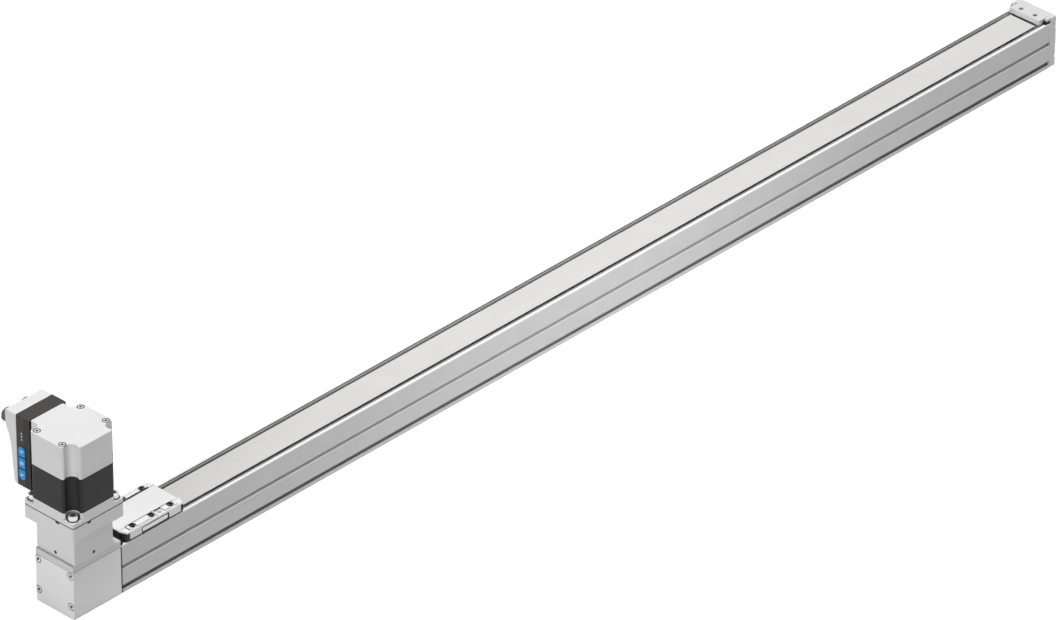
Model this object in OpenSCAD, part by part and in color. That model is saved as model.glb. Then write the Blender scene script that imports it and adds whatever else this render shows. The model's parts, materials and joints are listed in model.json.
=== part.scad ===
// Belt driven linear axis with an upright motor on its drive head.
// X runs along the axis from the drive head to the end cap, Y across it, Z up.
// The origin is the middle of the profile's underside, in millimetres.

/* [Profile] */
// Length of the aluminium profile
profile_len = 1177; // [500:1:2000]
// Width of the profile and of the drive head
profile_w = 45; // [44:0.5:48]
// Height of the profile
profile_h = 47; // [46:0.5:52]
// Thickness of the side walls
wall_t = 5; // [4.6:0.1:5.6]
// Thickness of the floor under the guide rail
floor_t = 8; // [7:0.5:9]
// Width of the raised rim on top of each side wall
rim_w = 3.2; // [2.4:0.1:3.6]
// Width of the line groove inside the rim
rim_groove_w = 0.4; // [0.2:0.1:0.8]
// Depth of the line groove inside the rim
rim_groove_d = 1; // [0.5:0.1:2]
// How far the inner ledge lies under the rim
ledge_drop = 0.5; // [0.2:0.1:1]
// Height of the sensor slot's middle above the underside
sensor_slot_z = 25.5; // [22:0.1:30]
// Width of the sensor slot's mouth
sensor_slot_w = 4.4; // [4:0.1:4.8]
// Depth of the sensor slot
sensor_slot_d = 3.4; // [2.6:0.1:3.6]
// Height of the fixing slot's middle above the underside
fixing_slot_z = 5.7; // [5.2:0.1:6]
// Width of the fixing slot's mouth
fixing_slot_w = 4.4; // [4:0.1:4.8]
// Width of the fixing slot behind its lips
fixing_slot_in_w = 6.6; // [5.6:0.1:7]
// Thickness of the fixing slot's lips
fixing_slot_lip = 1.4; // [1:0.1:1.8]
// Depth of the fixing slot
fixing_slot_d = 3.6; // [3:0.1:3.8]

/* [Cover strip] */
// Width of the steel cover strip
strip_w = 29.5; // [28:0.1:30]
// Thickness of the cover strip
strip_t = 0.3; // [0.2:0.05:0.4]
// How far the strip's top lies under the rim
strip_drop = 0.5; // [0.3:0.1:0.8]
// How far the strip reaches under the drive head's top plate
strip_tuck = 8; // [5:0.5:12]

/* [Guide] */
// Width of the guide rail
rail_w = 12; // [12:1:15]
// Height of the guide rail
rail_h = 8; // [7:0.5:9]
// Distance between the rail's screws
rail_pitch = 100; // [60:5:150]
// Width of the runner block
runner_w = 27; // [25:0.5:28]
// Length of the runner block's steel body
runner_len = 33.4; // [28:0.2:36]
// Thickness of each runner end cap
runner_cap_t = 6; // [4:0.5:7]
// Height of the runner's top above the floor
runner_top = 13; // [12:0.5:14]
// Gap between the runner and the floor
runner_lift = 3; // [2:0.5:4]
// Sliding clearance between rail and runner
guide_gap = 0.3; // [0.2:0.05:0.4]

/* [Carriage] */
// Travel of the carriage
stroke = 1050; // [300:10:1070]
// Distance from the drive head to the carriage's middle at rest
carriage_start = 40.5; // [40:0.5:60]
// Length of the carriage between its end faces
carriage_len = 71; // [66:1:76]
// How far the end faces sweep back at the sides
nose_sweep = 3; // [1:0.1:5]
// Half width at which the sweep starts
nose_half = 15.6; // [15:0.1:18]
// Gap between the rim and the carriage
carriage_lift = 1.8; // [1:0.1:2.5]
// Height of the carriage's body under its pads
carriage_h = 7.4; // [6.5:0.1:9]
// Height of the mounting pads on the carriage
pad_h = 1; // [0.5:0.1:1.5]
// Half length of the mounting pads
pad_half = 27.5; // [26:0.5:30]
// Distance of the pads' outer edges from the middle
pad_edge = 20.5; // [20.2:0.1:21]
// Distance between the mounting threads along the axis
thread_pitch_x = 22; // [20:0.5:24]
// Distance between the mounting threads across the axis
thread_pitch_y = 35; // [34.6:0.1:35.6]
// Core diameter of the mounting threads
thread_core_d = 4.2; // [3.3:0.1:4.4]
// Diameter of the centring counterbores
centring_d = 7; // [6:0.5:7]
// Depth of the centring counterbores
centring_depth = 1.2; // [0.8:0.1:1.6]
// Half width of the strip cover's channel
channel_half = 14.6; // [14:0.1:14.8]
// Thickness of the carriage under the strip cover
channel_floor = 2.3; // [1.5:0.1:3]
// Gap beside the strip cover
cover_gap = 0.4; // [0.2:0.1:0.6]
// Edge radius of the strip cover's ends
cover_round = 2.5; // [1:0.5:3]
// Depth of the wipers at the carriage's ends along the axis
wiper_depth = 6; // [4:0.5:8]
// Thickness of the carriage's skin over the wipers
skin_t = 1; // [0.8:0.1:2]
// Chamfer round the carriage's top
carriage_chamfer = 0.5; // [0.3:0.1:0.7]
// Length of the carriage's legs
leg_len = 46; // [40:1:50]
// Thickness of the lower part of the legs
leg_t = 5; // [4.4:0.2:5]
// Thickness of the plate on top of the runner
adapter_t = 4; // [3.5:0.5:5]
// Half length of the trip plates in the carriage's sides
trip_half = 15; // [12:0.5:17]
// Height of the trip plates
trip_h = 4.8; // [4:0.1:5.5]
// Depth of the trip plates' recesses
trip_depth = 1.5; // [1:0.1:2]

/* [Belt drive] */
// Number of teeth on each pulley
pulley_teeth = 20; // [18:2:20]
// Tooth pitch of the belt
belt_pitch = 3; // [2.8:0.1:3]
// Width of the belt
belt_w = 10; // [8:0.5:10]
// Thickness of the belt's back
belt_back_t = 1.2; // [0.9:0.1:1.4]
// Radius of a belt tooth
belt_tooth_r = 0.85; // [0.7:0.05:0.9]
// Clearance round the belt's teeth
tooth_gap = 0.3; // [0.2:0.05:0.35]
// Height of the belt's middle above the underside
belt_z = 31.5; // [31:0.1:32]
// Thickness of the pulleys' flanges
flange_t = 1; // [0.8:0.1:1.2]
// Radius of the pulleys' flanges
flange_r = 10.9; // [10.7:0.1:11]
// Diameter of the pulley shaft
shaft_d = 8; // [7:0.5:8]
// Number of belt teeth drawn in the clamp
clamp_teeth = 12; // [8:1:13]

/* [Drive head] */
// Length of the drive housing
head_len = 55.5; // [54:0.5:64]
// Height of the drive housing
head_h = 46.5; // [46:0.1:46.6]
// Distance from the housing's outer face to the shaft
shaft_inset = 24.5; // [23:0.5:28]
// Thickness of the top plate
plate_t = 5.8; // [5:0.1:7]
// Height of the coupling housing's lower body
neck_h = 30; // [26:0.2:36]
// Height of the coupling housing's wide flange
collar_h = 13.4; // [10:0.2:16]
// Bore of the coupling housing
coupling_bore_d = 31; // [30:0.5:32]
// Outer diameter of the coupling
coupling_d = 25; // [22:0.5:28]
// Distance of the coupling housing's bolts from the shaft, along the axis
coupling_bolt_x = 17.2; // [17:0.1:17.4]
// Distance of the coupling housing's bolts from the shaft, across the axis
coupling_bolt_y = 12.4; // [12:0.1:12.8]
// Distance of the end screws from the middle
end_screw_y = 19.4; // [19.3:0.05:19.6]
// Height of the lower end screws
end_screw_z1 = 12.2; // [11.6:0.1:14]
// Height of the upper end screws
end_screw_z2 = 42.5; // [40:0.1:42.8]

/* [Motor] */
// Width of the motor's square section
motor_w = 59; // [56:0.1:60]
// Distance from the motor's side to its fixing screws
motor_screw_inset = 5.93; // [4.6:0.01:6.4]
// Thickness of the motor's flange
motor_flange_t = 4.5; // [4:0.2:6]
// Height of the front bell above the flange
bell_h = 6.2; // [4:0.2:9]
// Height of the stator stack
stator_h = 33.3; // [28:0.2:60]
// Height of the rear cover
rear_h = 31.8; // [28:0.2:40]
// Diameter of the motor's centring boss
pilot_d = 38.1; // [37:0.1:38.1]
// Height of the centring boss
pilot_h = 1.6; // [1:0.1:2]
// Diameter of the motor shaft
motor_shaft_d = 6.35; // [6:0.05:8]
// Diameter of the rotor
rotor_d = 28.4; // [24:0.2:30]
// Air gap between rotor and stator
air_gap = 0.4; // [0.3:0.05:0.6]

// Wall of the rear cover round its room
rear_wall = 7.5; // [7:0.1:8]
// Roof of the rear cover
rear_roof = 3; // [2:0.1:4]
// Corner radius of the rear cover's room
rear_corner_r = 11; // [9:0.5:12]
// Distance of the cover's screws from its front and back
cover_screw_inset = 4.5; // [4:0.1:5]
// Distance of the cover's screws from its sides
cover_screw_side = 14.5; // [13:0.5:16]

/* [Electronics pod] */
// Distance from the motor's axis to the pod's front
pod_front = 20; // [18:0.5:22]
// Width of the pod along the axis
pod_w = 42; // [38:0.5:46]
// Depth of the dark base next to the motor
pod_base_t = 16; // [14:0.5:18]
// Depth of the outer cover at its top
pod_cover_t = 13.1; // [12:0.1:15]
// Height of the pod
pod_h = 68.8; // [66:0.5:72]
// Wall thickness of the pod
pod_wall = 2; // [1.6:0.1:2.4]
// Width of a push button
button_w = 7.6; // [6:0.1:8]
// Height of a push button
button_h = 9.9; // [9:0.1:10.2]
// Distance between the push buttons
button_pitch = 11.3; // [11:0.1:11.6]
// Height of the middle button above the pod's underside
button_z = 23.5; // [22:0.5:28]
// How far the buttons stand out
button_proud = 0.9; // [0.7:0.1:1.2]
// Travel of the push buttons
button_travel = 0.6; // [0.4:0.1:0.6]
// Clearance round the push buttons
button_gap = 0.3; // [0.2:0.05:0.35]
// Distance from the pod's front to the first connector
connector_inset = 7.5; // [7:0.5:9]
// Distance from the motor's top down to the connectors
connector_drop = 11.3; // [10:0.1:13]
// Distance between the two connectors
connector_pitch = 21; // [18:0.5:25]
// Outer diameter of the connectors
connector_d = 12.4; // [12:0.2:13]
// How far the connectors stand out
connector_out = 8.2; // [6:0.2:10]

/* [Far end] */
// Thickness of the end cap
cap_t = 7.5; // [5:0.5:10]
// Height of the end cap above the profile
cap_rise = 5.4; // [5:0.1:6]
// Length of the strip clamp
clamp_len = 11; // [10:0.5:14]
// Length of the lugs that hold the buffers
lug_len = 4; // [3:0.5:6]
// Distance from the profile's end to the idler's axle
idler_inset = 15.5; // [14:0.5:18]
// Diameter of the idler's axle
axle_d = 5; // [4:0.5:5]

/* [Fits] */
// Clearance of bearings and shafts on their seats
fit_gap = 0.03; // [0.02:0.01:0.06]
// Clearance round screws in their holes
screw_gap = 0.1; // [0.05:0.01:0.2]
// Clearance between parts that pass each other
pass_gap = 0.3; // [0.25:0.05:0.4]

/* [Hidden] */
$fn = 48;
eps = 0.01;
x_near = -profile_len / 2;
x_far = profile_len / 2;
head_x = x_near - head_len;
shaft_x = head_x + shaft_inset;
motor_screw_pitch = motor_w - 2 * motor_screw_inset;
rear_room = motor_w - 2 * rear_wall;
rear_post_inset = 4;
board_room = 1;
cover_screw_x = motor_w / 2 - cover_screw_inset;
cover_screw_y = motor_w / 2 - cover_screw_side;
idler_x = x_far - idler_inset;
carriage_x = x_near + carriage_start;
cavity_half = profile_w / 2 - wall_t;
strip_top = profile_h - strip_drop;
strip_bottom = strip_top - strip_t;
// heights of the drive head's joints
head_top = head_h + 0.3;
head_bottom = head_top - head_h;
plate_top = head_top + plate_t;
neck_top = plate_top + neck_h;
collar_top = neck_top + collar_h;
flange_top = collar_top + motor_flange_t;
bell_top = flange_top + bell_h;
stator_top = bell_top + stator_h;
motor_top = stator_top + rear_h;
// belt drive
pitch_r = pulley_teeth * belt_pitch / (2 * PI);
tooth_root_r = pitch_r - 0.35;
land_r = pitch_r - 0.28;
back_r = land_r + belt_back_t;
pulley_r = pitch_r - 0.38;
groove_r = belt_tooth_r + tooth_gap;
belt_bottom = belt_z - belt_w / 2;
belt_top = belt_z + belt_w / 2;
pulley_bottom = belt_bottom - 0.5 - flange_t;
pulley_top = belt_top + 0.5 + flange_t;
bay_bottom = pulley_bottom - 1.5;
bay_top = pulley_top + 1.5;
bay_half = 13.5;
// bearings as [bore diameter, outer diameter, width]
bearing_low = [shaft_d, 16, 5];
bearing_high = [shaft_d, 22, head_top - bay_top - 0.3];
bearing_motor = [motor_shaft_d, 16, 5];
bearing_idler = [axle_d, 11, 4];
// carriage
runner_z = floor_t + runner_lift;
adapter_z = floor_t + runner_top;
leg_z = adapter_z + adapter_t;
neck_z = strip_bottom - 1.7;
leg_outer = cavity_half - pass_gap;
leg_neck_in = strip_w / 2 + pass_gap;
body_z = profile_h + carriage_lift;
body_top = body_z + carriage_h;
pad_top = body_top + pad_h;
channel_z = body_z + channel_floor;
half_len = carriage_len / 2;
side_half = half_len - nose_sweep;
// fasteners as [core diameter of the thread, head diameter, head height]
m2 = [1.6, 3.6, 1.2];
m25 = [2.05, 4, 2];
m3 = [2.5, 5.5, 3];
m4 = [3.3, 6.7, 4];
m5 = [4.2, 8.5, 5];
// low heads of the clamp and trip plate screws
clamp_screw = [m3[0], m3[1], 2.6];
trip_screw = [m2[0], m2[1], 0.4];
flat_screw = [2.05, 5.4, 0.6];
pod_y = motor_w / 2;
pod_z = motor_top - pod_h;
pod_x = shaft_x - pod_front;
seam_y = pod_y + pod_base_t;
button_y = pod_y + 9.6;
connector_z = motor_top - connector_drop;
bolt_reach = 5.5;
leg_bolt_x = 17;
adapter_bolt = 10;
clamp_bolt_x = 12;
// the coupling's jaws and the spider between them
spider_step = 60;
jaw_angle = 20;
spider_core_r = coupling_d * 0.2;
// the clamp's teeth stand where the belt's gaps are
clamp_x = shaft_x + belt_pitch * (round((carriage_x - shaft_x) / belt_pitch) + 0.5);
clamp_half = 18;
lug_in = clamp_half + 0.4;
buffer_top = profile_h + 3;
clamp_screw_x = x_far - 5.5;
clamp_screw_y = 8.4;

// A block from low corner to high corner
module block(low, high) {
    translate(low) cube(high - low);
}

// A 2D outline in the YZ plane, carried along X from x0 to x1
module along_x(x0, x1) {
    translate([x0, 0, 0]) rotate([90, 0, 90]) linear_extrude(x1 - x0) children();
}

// A 2D outline in the XY plane, carried along Z from z0 to z1
module along_z(z0, z1) {
    translate([0, 0, z0]) linear_extrude(z1 - z0) children();
}

// A cylinder upright at x, y from z0 to z1
module post(x, y, z0, z1, r) {
    translate([x, y, z0]) cylinder(h = z1 - z0, r = r);
}

// A cylinder along X
module bar_x(x0, x1, y, z, r) {
    translate([x0, y, z]) rotate([0, 90, 0]) cylinder(h = x1 - x0, r = r);
}

// A cylinder along Y
module bar_y(x, y0, y1, z, r) {
    translate([x, y0, z]) rotate([-90, 0, 0]) cylinder(h = y1 - y0, r = r);
}

// A rectangle with round corners, centred
module round_rect(w, h, r) {
    square([w - 2 * r, h], center = true);
    square([w, h - 2 * r], center = true);
    for (sx = [-1, 1], sy = [-1, 1])
        translate([sx * (w / 2 - r), sy * (h / 2 - r)]) circle(r);
}

// Both sides of the XZ plane
module both_sides() {
    children();
    mirror([0, 1, 0]) children();
}

// A socket head screw whose head sits at z = 0 and whose shank points down
module cap_screw(size, len) {
    difference() {
        union() {
            cylinder(h = size[2], d = size[1]);
            translate([0, 0, -len]) cylinder(h = len + eps, d = size[0]);
        }
        translate([0, 0, size[2] * 0.4]) cylinder(h = size[2], d = size[0] * 0.9, $fn = 6);
    }
}

// The hole for such a screw, open upwards
module screw_hole(size, len, rise) {
    translate([0, 0, -len]) cylinder(h = len + eps, d = size[0] + 2 * screw_gap);
    cylinder(h = rise, d = size[1] + 2 * screw_gap);
}

// A deep groove ball bearing standing on z = 0
module ball_bearing(b) {
    difference() {
        cylinder(h = b[2], d = b[1] - 2 * fit_gap);
        translate([0, 0, -eps]) cylinder(h = b[2] + 2 * eps, d = b[0] + 2 * fit_gap);
        for (z = [-eps, b[2] - 0.4]) translate([0, 0, z]) difference() {
            cylinder(h = 0.4 + eps, d = b[1] - 2.6);
            translate([0, 0, -eps]) cylinder(h = 1, d = b[0] + 2.6);
        }
    }
}

/* ---- profile, strip and guide ---- */

module sensor_slot_2d() {
    d = sensor_slot_d;
    w = sensor_slot_w;
    translate([-profile_w / 2, sensor_slot_z]) {
        polygon([[-1, w / 2], [0, w / 2], [1, w * 0.34], [d * 0.6, w * 0.34],
                 [d * 0.6, -w * 0.34], [1, -w * 0.34], [0, -w / 2], [-1, -w / 2]]);
        translate([d - w * 0.34, 0]) circle(w * 0.34);
    }
}

module fixing_slot_2d() {
    translate([-profile_w / 2, fixing_slot_z]) {
        translate([-1, -fixing_slot_w / 2]) square([fixing_slot_d + 1, fixing_slot_w]);
        translate([fixing_slot_lip, -fixing_slot_in_w / 2])
            square([fixing_slot_d - fixing_slot_lip, fixing_slot_in_w]);
    }
}

module profile_2d() {
    difference() {
        translate([0, profile_h / 2]) round_rect(profile_w, profile_h, 0.8);
        translate([-cavity_half, floor_t]) square([2 * cavity_half, profile_h]);
        for (side = [0, 1]) mirror([side, 0]) {
            sensor_slot_2d();
            fixing_slot_2d();
            translate([-profile_w / 2 + rim_w, profile_h - rim_groove_d])
                square([rim_groove_w, profile_h]);
            translate([-profile_w / 2 + rim_w, profile_h - ledge_drop])
                square([wall_t, profile_h]);
            for (z = [end_screw_z1, end_screw_z2])
                translate([end_screw_y, z]) circle(d = m4[0] + 2 * screw_gap);
        }
    }
}

module profile() {
    color("#c9cacb") along_x(x_near, x_far) profile_2d();
}

rail_x0 = x_near + 2;
rail_x1 = x_far - idler_inset - 18;
rail_count = floor((rail_x1 - rail_x0 - 30) / rail_pitch) + 1;
rail_first = (rail_x0 + rail_x1 - (rail_count - 1) * rail_pitch) / 2;
rail_top = floor_t + rail_h;

// Rail section grown by g, with the ball grooves in its flanks
module rail_2d(g) {
    w = rail_w / 2 + g;
    top = rail_h + g;
    for (side = [0, 1]) mirror([side, 0])
        polygon([[0, -1], [w, -1], [w, rail_h - 4.6 + g], [w - 1.1, rail_h - 3.6 + g],
                 [w - 1.1, rail_h - 2.4 - g], [w, rail_h - 1.4 - g], [w, top - 0.5], [w - 0.5, top],
                 [0, top]]);
}

module rail_holes(rise) {
    for (i = [0 : rail_count - 1])
        translate([rail_first + i * rail_pitch, 0, rail_top - m3[2] - 0.6])
            children();
}

module guide_rail() {
    color("#8f9396") difference() {
        intersection() {
            along_x(rail_x0, rail_x1) translate([0, floor_t]) rail_2d(0);
            block([rail_x0 - 1, -rail_w, floor_t], [rail_x1 + 1, rail_w, rail_top + 1]);
        }
        rail_holes() screw_hole(m3, rail_h, m3[2] + 2);
    }
}

module rail_screws() {
    color("#3a3c3e") rail_holes() cap_screw(m3, rail_h - m3[2] - 0.6);
}

module cover_strip() {
    color("#dcdad6") difference() {
        block([x_near - strip_tuck, -strip_w / 2, strip_bottom], [x_far - 1, strip_w / 2, strip_top]);
        for (side = [-1, 1])
            post(clamp_screw_x, side * clamp_screw_y, strip_bottom - 1, strip_top + 1, 1.5);
    }
}

/* ---- drive head ---- */

module end_screws_at() {
    for (side = [-1, 1], z = [end_screw_z1, end_screw_z2])
        translate([0, side * end_screw_y, z]) children();
}

module drive_housing() {
    color("#b9babb") difference() {
        along_z(head_bottom, head_top) translate([head_x + head_len / 2, 0])
            round_rect(head_len, profile_w, 0.8);
        // bay for the pulley and the two belt strands, open towards the profile
        post(shaft_x, 0, bay_bottom, bay_top, bay_half);
        block([shaft_x, -bay_half, bay_bottom], [x_near + 1, bay_half, bay_top]);
        // seats of the shaft's bearings
        post(shaft_x, 0, bay_bottom - bearing_low[2] - 1.5, bay_bottom + eps, bearing_low[1] / 2);
        post(shaft_x, 0, 6, bay_bottom, shaft_d / 2 + 1.5);
        post(shaft_x, 0, bay_top - eps, head_top + 1, bearing_high[1] / 2);
        // end of the cover strip
        block([x_near - strip_tuck - pass_gap, -strip_w / 2 - pass_gap, strip_bottom],
              [x_near + 1, strip_w / 2 + pass_gap, head_top + 1]);
        translate([head_x + m4[2], 0, 0]) end_screws_at() rotate([0, -90, 0])
            screw_hole([m4[0], m4[1] + 0.1, m4[2]], head_len, m4[2] + 1);
        coupling_bolts_at() translate([0, 0, head_top - bolt_reach - 0.5])
            cylinder(h = bolt_reach + 1.5, d = m4[0] + 2 * screw_gap);
        // pocket that lightens the underside
        translate([head_x + head_len / 2, 0, head_bottom - 1]) along_z(0, 5) round_rect(30, 22, 4);
    }
}

module housing_screws() {
    color("#d9dadb") translate([head_x + m4[2], 0, 0]) end_screws_at() rotate([0, -90, 0])
        cap_screw(m4, head_len - m4[2] + 12);
}

module coupling_bolts_at() {
    for (sx = [-1, 1], sy = [-1, 1])
        translate([shaft_x + sx * coupling_bolt_x, sy * coupling_bolt_y, 0]) children();
}

module top_plate() {
    color("#aeb0b1") difference() {
        along_z(head_top, plate_top) translate([head_x + head_len / 2, 0])
            round_rect(head_len, profile_w, 0.8);
        post(shaft_x, 0, head_top - 1, plate_top + 1, bearing_high[1] / 2 - 4);
        coupling_bolts_at() translate([0, 0, head_top - 1])
            cylinder(h = plate_t + 2, d = m4[0] + 2 * screw_gap);
    }
}

bolt_seat = plate_top + 12;

module coupling_housing() {
    color("#aeb0b1") difference() {
        translate([shaft_x, 0, 0]) {
            along_z(plate_top, neck_top + eps) round_rect(profile_w, profile_w, 0.8);
            along_z(neck_top, collar_top) round_rect(motor_w, motor_w, 2.5);
            // fillet under the collar, as one smaller step
            along_z(neck_top - 1.4, neck_top + eps) round_rect(profile_w + 2, profile_w + 2, 1.6);
            along_z(neck_top - 0.6, neck_top + eps) round_rect(profile_w + 4.4, profile_w + 4.4, 2.2);
        }
        post(shaft_x, 0, plate_top - 1, collar_top + 1, coupling_bore_d / 2);
        post(shaft_x, 0, collar_top - pilot_h - 0.4, collar_top + 1, pilot_d / 2 + 0.05);
        coupling_bolts_at() {
            translate([0, 0, bolt_seat]) screw_hole(m4, bolt_seat - plate_top + 1, collar_top);
        }
        // reach for the clamping screws of the lower hub
        bar_x(shaft_x - profile_w, shaft_x, 0, plate_top + 4.4, 1.6);
        bar_y(shaft_x, -profile_w, 0, plate_top + 4.4, 1.6);
        // threads for the motor's screws
        motor_screws_at() translate([0, 0, collar_top - 9])
            cylinder(h = 10, d = m5[0] + 2 * screw_gap);
        // prying notches in the upper edge
        for (a = [0, 180]) translate([shaft_x, 0, collar_top]) rotate(a) {
            pry_notch();
            rotate(90) mirror([0, 1, 0]) pry_notch();
        }
    }
}

module pry_notch() {
    translate([-motor_w / 2, -10.8, 0]) rotate([0, 45, 0]) cube([3.6, 4.2, 3.6], center = true);
}

module coupling_housing_bolts() {
    color("#3a3c3e") coupling_bolts_at() translate([0, 0, bolt_seat])
        cap_screw(m4, bolt_seat - head_top + bolt_reach);
}

bearing_low_z = bay_bottom - bearing_low[2];
bearing_high_z = head_top - bearing_high[2];

module shaft_bearings() {
    color("#9fa3a6") translate([shaft_x, 0, 0]) {
        translate([0, 0, bearing_low_z]) ball_bearing(bearing_low);
        translate([0, 0, bearing_high_z]) ball_bearing(bearing_high);
    }
}

/* ---- motor ---- */

module motor_screws_at() {
    for (sx = [-1, 1], sy = [-1, 1])
        translate([shaft_x + sx * motor_screw_pitch / 2, sy * motor_screw_pitch / 2, 0]) children();
}

// Square section with a round bite and rounded shoulders at each corner
bite_r = m5[1] / 2 + 1.95;
bite_c = motor_screw_pitch / 2 + 0.63;
shoulder_r = 3.2;
shoulder_y = bite_c - bite_r - 1.7;

module motor_2d() {
    square([motor_w, 2 * shoulder_y], center = true);
    square([2 * shoulder_y, motor_w], center = true);
    difference() {
        union() {
            square(motor_w - 2 * shoulder_r, center = true);
            for (sx = [-1, 1], sy = [-1, 1]) {
                translate([sx * (motor_w / 2 - shoulder_r), sy * shoulder_y]) circle(shoulder_r);
                translate([sx * shoulder_y, sy * (motor_w / 2 - shoulder_r)]) circle(shoulder_r);
            }
        }
        for (sx = [-1, 1], sy = [-1, 1])
            translate([sx * bite_c, sy * bite_c]) circle(bite_r);
    }
}

bearing_front_z = collar_top + 2;
bearing_rear_z = stator_top + 1.5;
stator_bore_r = rotor_d / 2 + air_gap;

module motor_bell() {
    color("#c6c8c9") difference() {
        union() {
            translate([shaft_x, 0, 0]) {
                along_z(collar_top, flange_top) round_rect(motor_w, motor_w, 2.5);
                along_z(flange_top - eps, bell_top) motor_2d();
            }
            post(shaft_x, 0, collar_top - pilot_h, collar_top + eps, pilot_d / 2);
        }
        post(shaft_x, 0, collar_top - 3, bell_top + 1, motor_shaft_d / 2 + 2);
        post(shaft_x, 0, bearing_front_z, bell_top + 1, bearing_motor[1] / 2);
        post(shaft_x, 0, bearing_front_z + bearing_motor[2] + 0.5, bell_top + 1, stator_bore_r);
        motor_screws_at() translate([0, 0, collar_top - 1])
            cylinder(h = motor_flange_t + 2, d = m5[0] + 2 * screw_gap);
    }
}

module motor_stator() {
    color("#333436") difference() {
        translate([shaft_x, 0, 0]) along_z(bell_top, stator_top) motor_2d();
        post(shaft_x, 0, bell_top - 1, stator_top + 1, stator_bore_r);
        // slots between the pole pieces
        for (a = [22.5 : 45 : 360]) translate([shaft_x, 0, bell_top - 1]) rotate(a)
            translate([stator_bore_r - 1, -0.8, 0]) cube([6, 1.6, stator_h + 2]);
    }
}

module cover_screws_at() {
    for (sx = [-1, 1], sy = [-1, 1])
        translate([shaft_x + sx * cover_screw_x, sy * cover_screw_y, 0]) children();
}

module rear_cover() {
    color("#c6c8c9") difference() {
        translate([shaft_x, 0, 0]) along_z(stator_top, motor_top) motor_2d();
        translate([shaft_x, 0, 0]) along_z(stator_top - 1, motor_top - rear_roof)
            round_rect(rear_room, rear_room, rear_corner_r);
        cover_screws_at() translate([0, 0, motor_top - flat_screw[2]]) {
            screw_hole(flat_screw, 9, 2);
            cylinder(h = 2, d = flat_screw[1] + 0.6);
        }
        // way for the wires into the pod
        bar_y(shaft_x, cover_screw_y, motor_w / 2 + 1, motor_top - 14, 5);
    }
}

module rear_cover_screws() {
    color("#d9dadb") cover_screws_at() translate([0, 0, motor_top - flat_screw[2]])
        cap_screw(flat_screw, 8);
}

plate_room = 0.2;
rear_plate_top = bearing_rear_z + bearing_motor[2] + 0.5;
board_z = motor_top - 16;

module rear_bearing_plate() {
    color("#9fa3a6") difference() {
        translate([shaft_x, 0, 0]) {
            along_z(stator_top, rear_plate_top)
                round_rect(rear_room - 2 * plate_room, rear_room - 2 * plate_room, rear_corner_r);
            for (a = [45 : 90 : 315]) rotate(a)
                post(rear_room / 2 - rear_post_inset, 0, rear_plate_top - eps, board_z, 2.5);
        }
        post(shaft_x, 0, stator_top - 1, rear_plate_top + 1, motor_shaft_d / 2 + 2);
        post(shaft_x, 0, bearing_rear_z, rear_plate_top + 1, bearing_motor[1] / 2);
        post(shaft_x, 0, stator_top - 1, stator_top + 0.8, stator_bore_r);
    }
}

module motor_bearings() {
    color("#9fa3a6") translate([shaft_x, 0, 0]) {
        translate([0, 0, bearing_front_z]) ball_bearing(bearing_motor);
        translate([0, 0, bearing_rear_z]) ball_bearing(bearing_motor);
    }
}

module motor_screws() {
    color("#8b8e91") motor_screws_at() translate([0, 0, flange_top]) cap_screw(m5, motor_flange_t + 8);
}

module encoder_board() {
    color("#23613f") along_z(board_z, board_z + 1.6) translate([shaft_x, 0]) difference() {
        circle(rear_room / 2 - board_room);
        circle(3);
    }
}

/* ---- electronics pod ---- */

// A stadium shape standing in the panel, as wide as the buttons
module button_stadium(grow) {
    reach = button_pitch + button_h / 2 - button_w / 2;
    r = button_w / 2 + grow;
    for (s = [-1, 1]) translate([button_y, pod_z + button_z + s * reach]) circle(r);
    translate([button_y - r, pod_z + button_z - reach]) square([2 * r, 2 * reach]);
}

// One third of that stadium, i = -1, 0 or 1 from the bottom
module button_2d(i, grow) {
    low = i < 0 ? -3 : -button_h / 2 - grow;
    high = i > 0 ? button_h / 2 + 3 : button_h / 2 + grow;
    z = pod_z + button_z + i * button_pitch;
    intersection() {
        button_stadium(grow);
        translate([button_y - button_w, z + (i < 0 ? -button_h / 2 - 3 : low)])
            square([2 * button_w, high - (i < 0 ? -button_h / 2 - 3 : low)]);
    }
}

board_x = pod_x + pod_wall + 5.4;
lens_z = pod_z + 46.5;
lens_pitch = 3;
lens_r = 0.9;

module pod_base() {
    color("#4b4644") difference() {
        block([pod_x, pod_y, pod_z], [pod_x + pod_w, seam_y, motor_top]);
        block([pod_x + pod_wall, pod_y + pod_wall, pod_z + pod_wall],
              [pod_x + pod_w - pod_wall, seam_y + 1, motor_top - pod_wall]);
        for (i = [-1 : 1]) along_x(pod_x - 1, pod_x + pod_wall + 1) button_2d(i, button_gap);
        for (k = [0 : 2])
            bar_x(pod_x - 1, pod_x + pod_wall + 1, button_y, lens_z + lens_pitch * k, lens_r + fit_gap);
        bar_y(shaft_x, pod_y - 1, pod_y + pod_wall + 1, motor_top - 14, 5);
    }
}

// Outer cover: thick at the top where the connectors sit, slim below
module pod_cover_2d(inset) {
    y = seam_y - inset;
    z = pod_z;
    polygon([[seam_y, z + inset], [y + 2.8, z + inset], [y + 4, z + inset + 0.8],
             [y + 4.6, z + inset + 2.4], [y + 5.1, z + 10], [y + 6.4, z + 24], [y + 7.3, z + 34],
             [y + 8.3, z + 41], [y + 10, z + 46.5], [y + 11.9, z + 50.5],
             [y + pod_cover_t, z + 54], [y + pod_cover_t, motor_top - inset - 1.4],
             [y + pod_cover_t - 0.4, motor_top - inset - 0.4],
             [y + pod_cover_t - 1.4, motor_top - inset], [seam_y, motor_top - inset]]);
}

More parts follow.
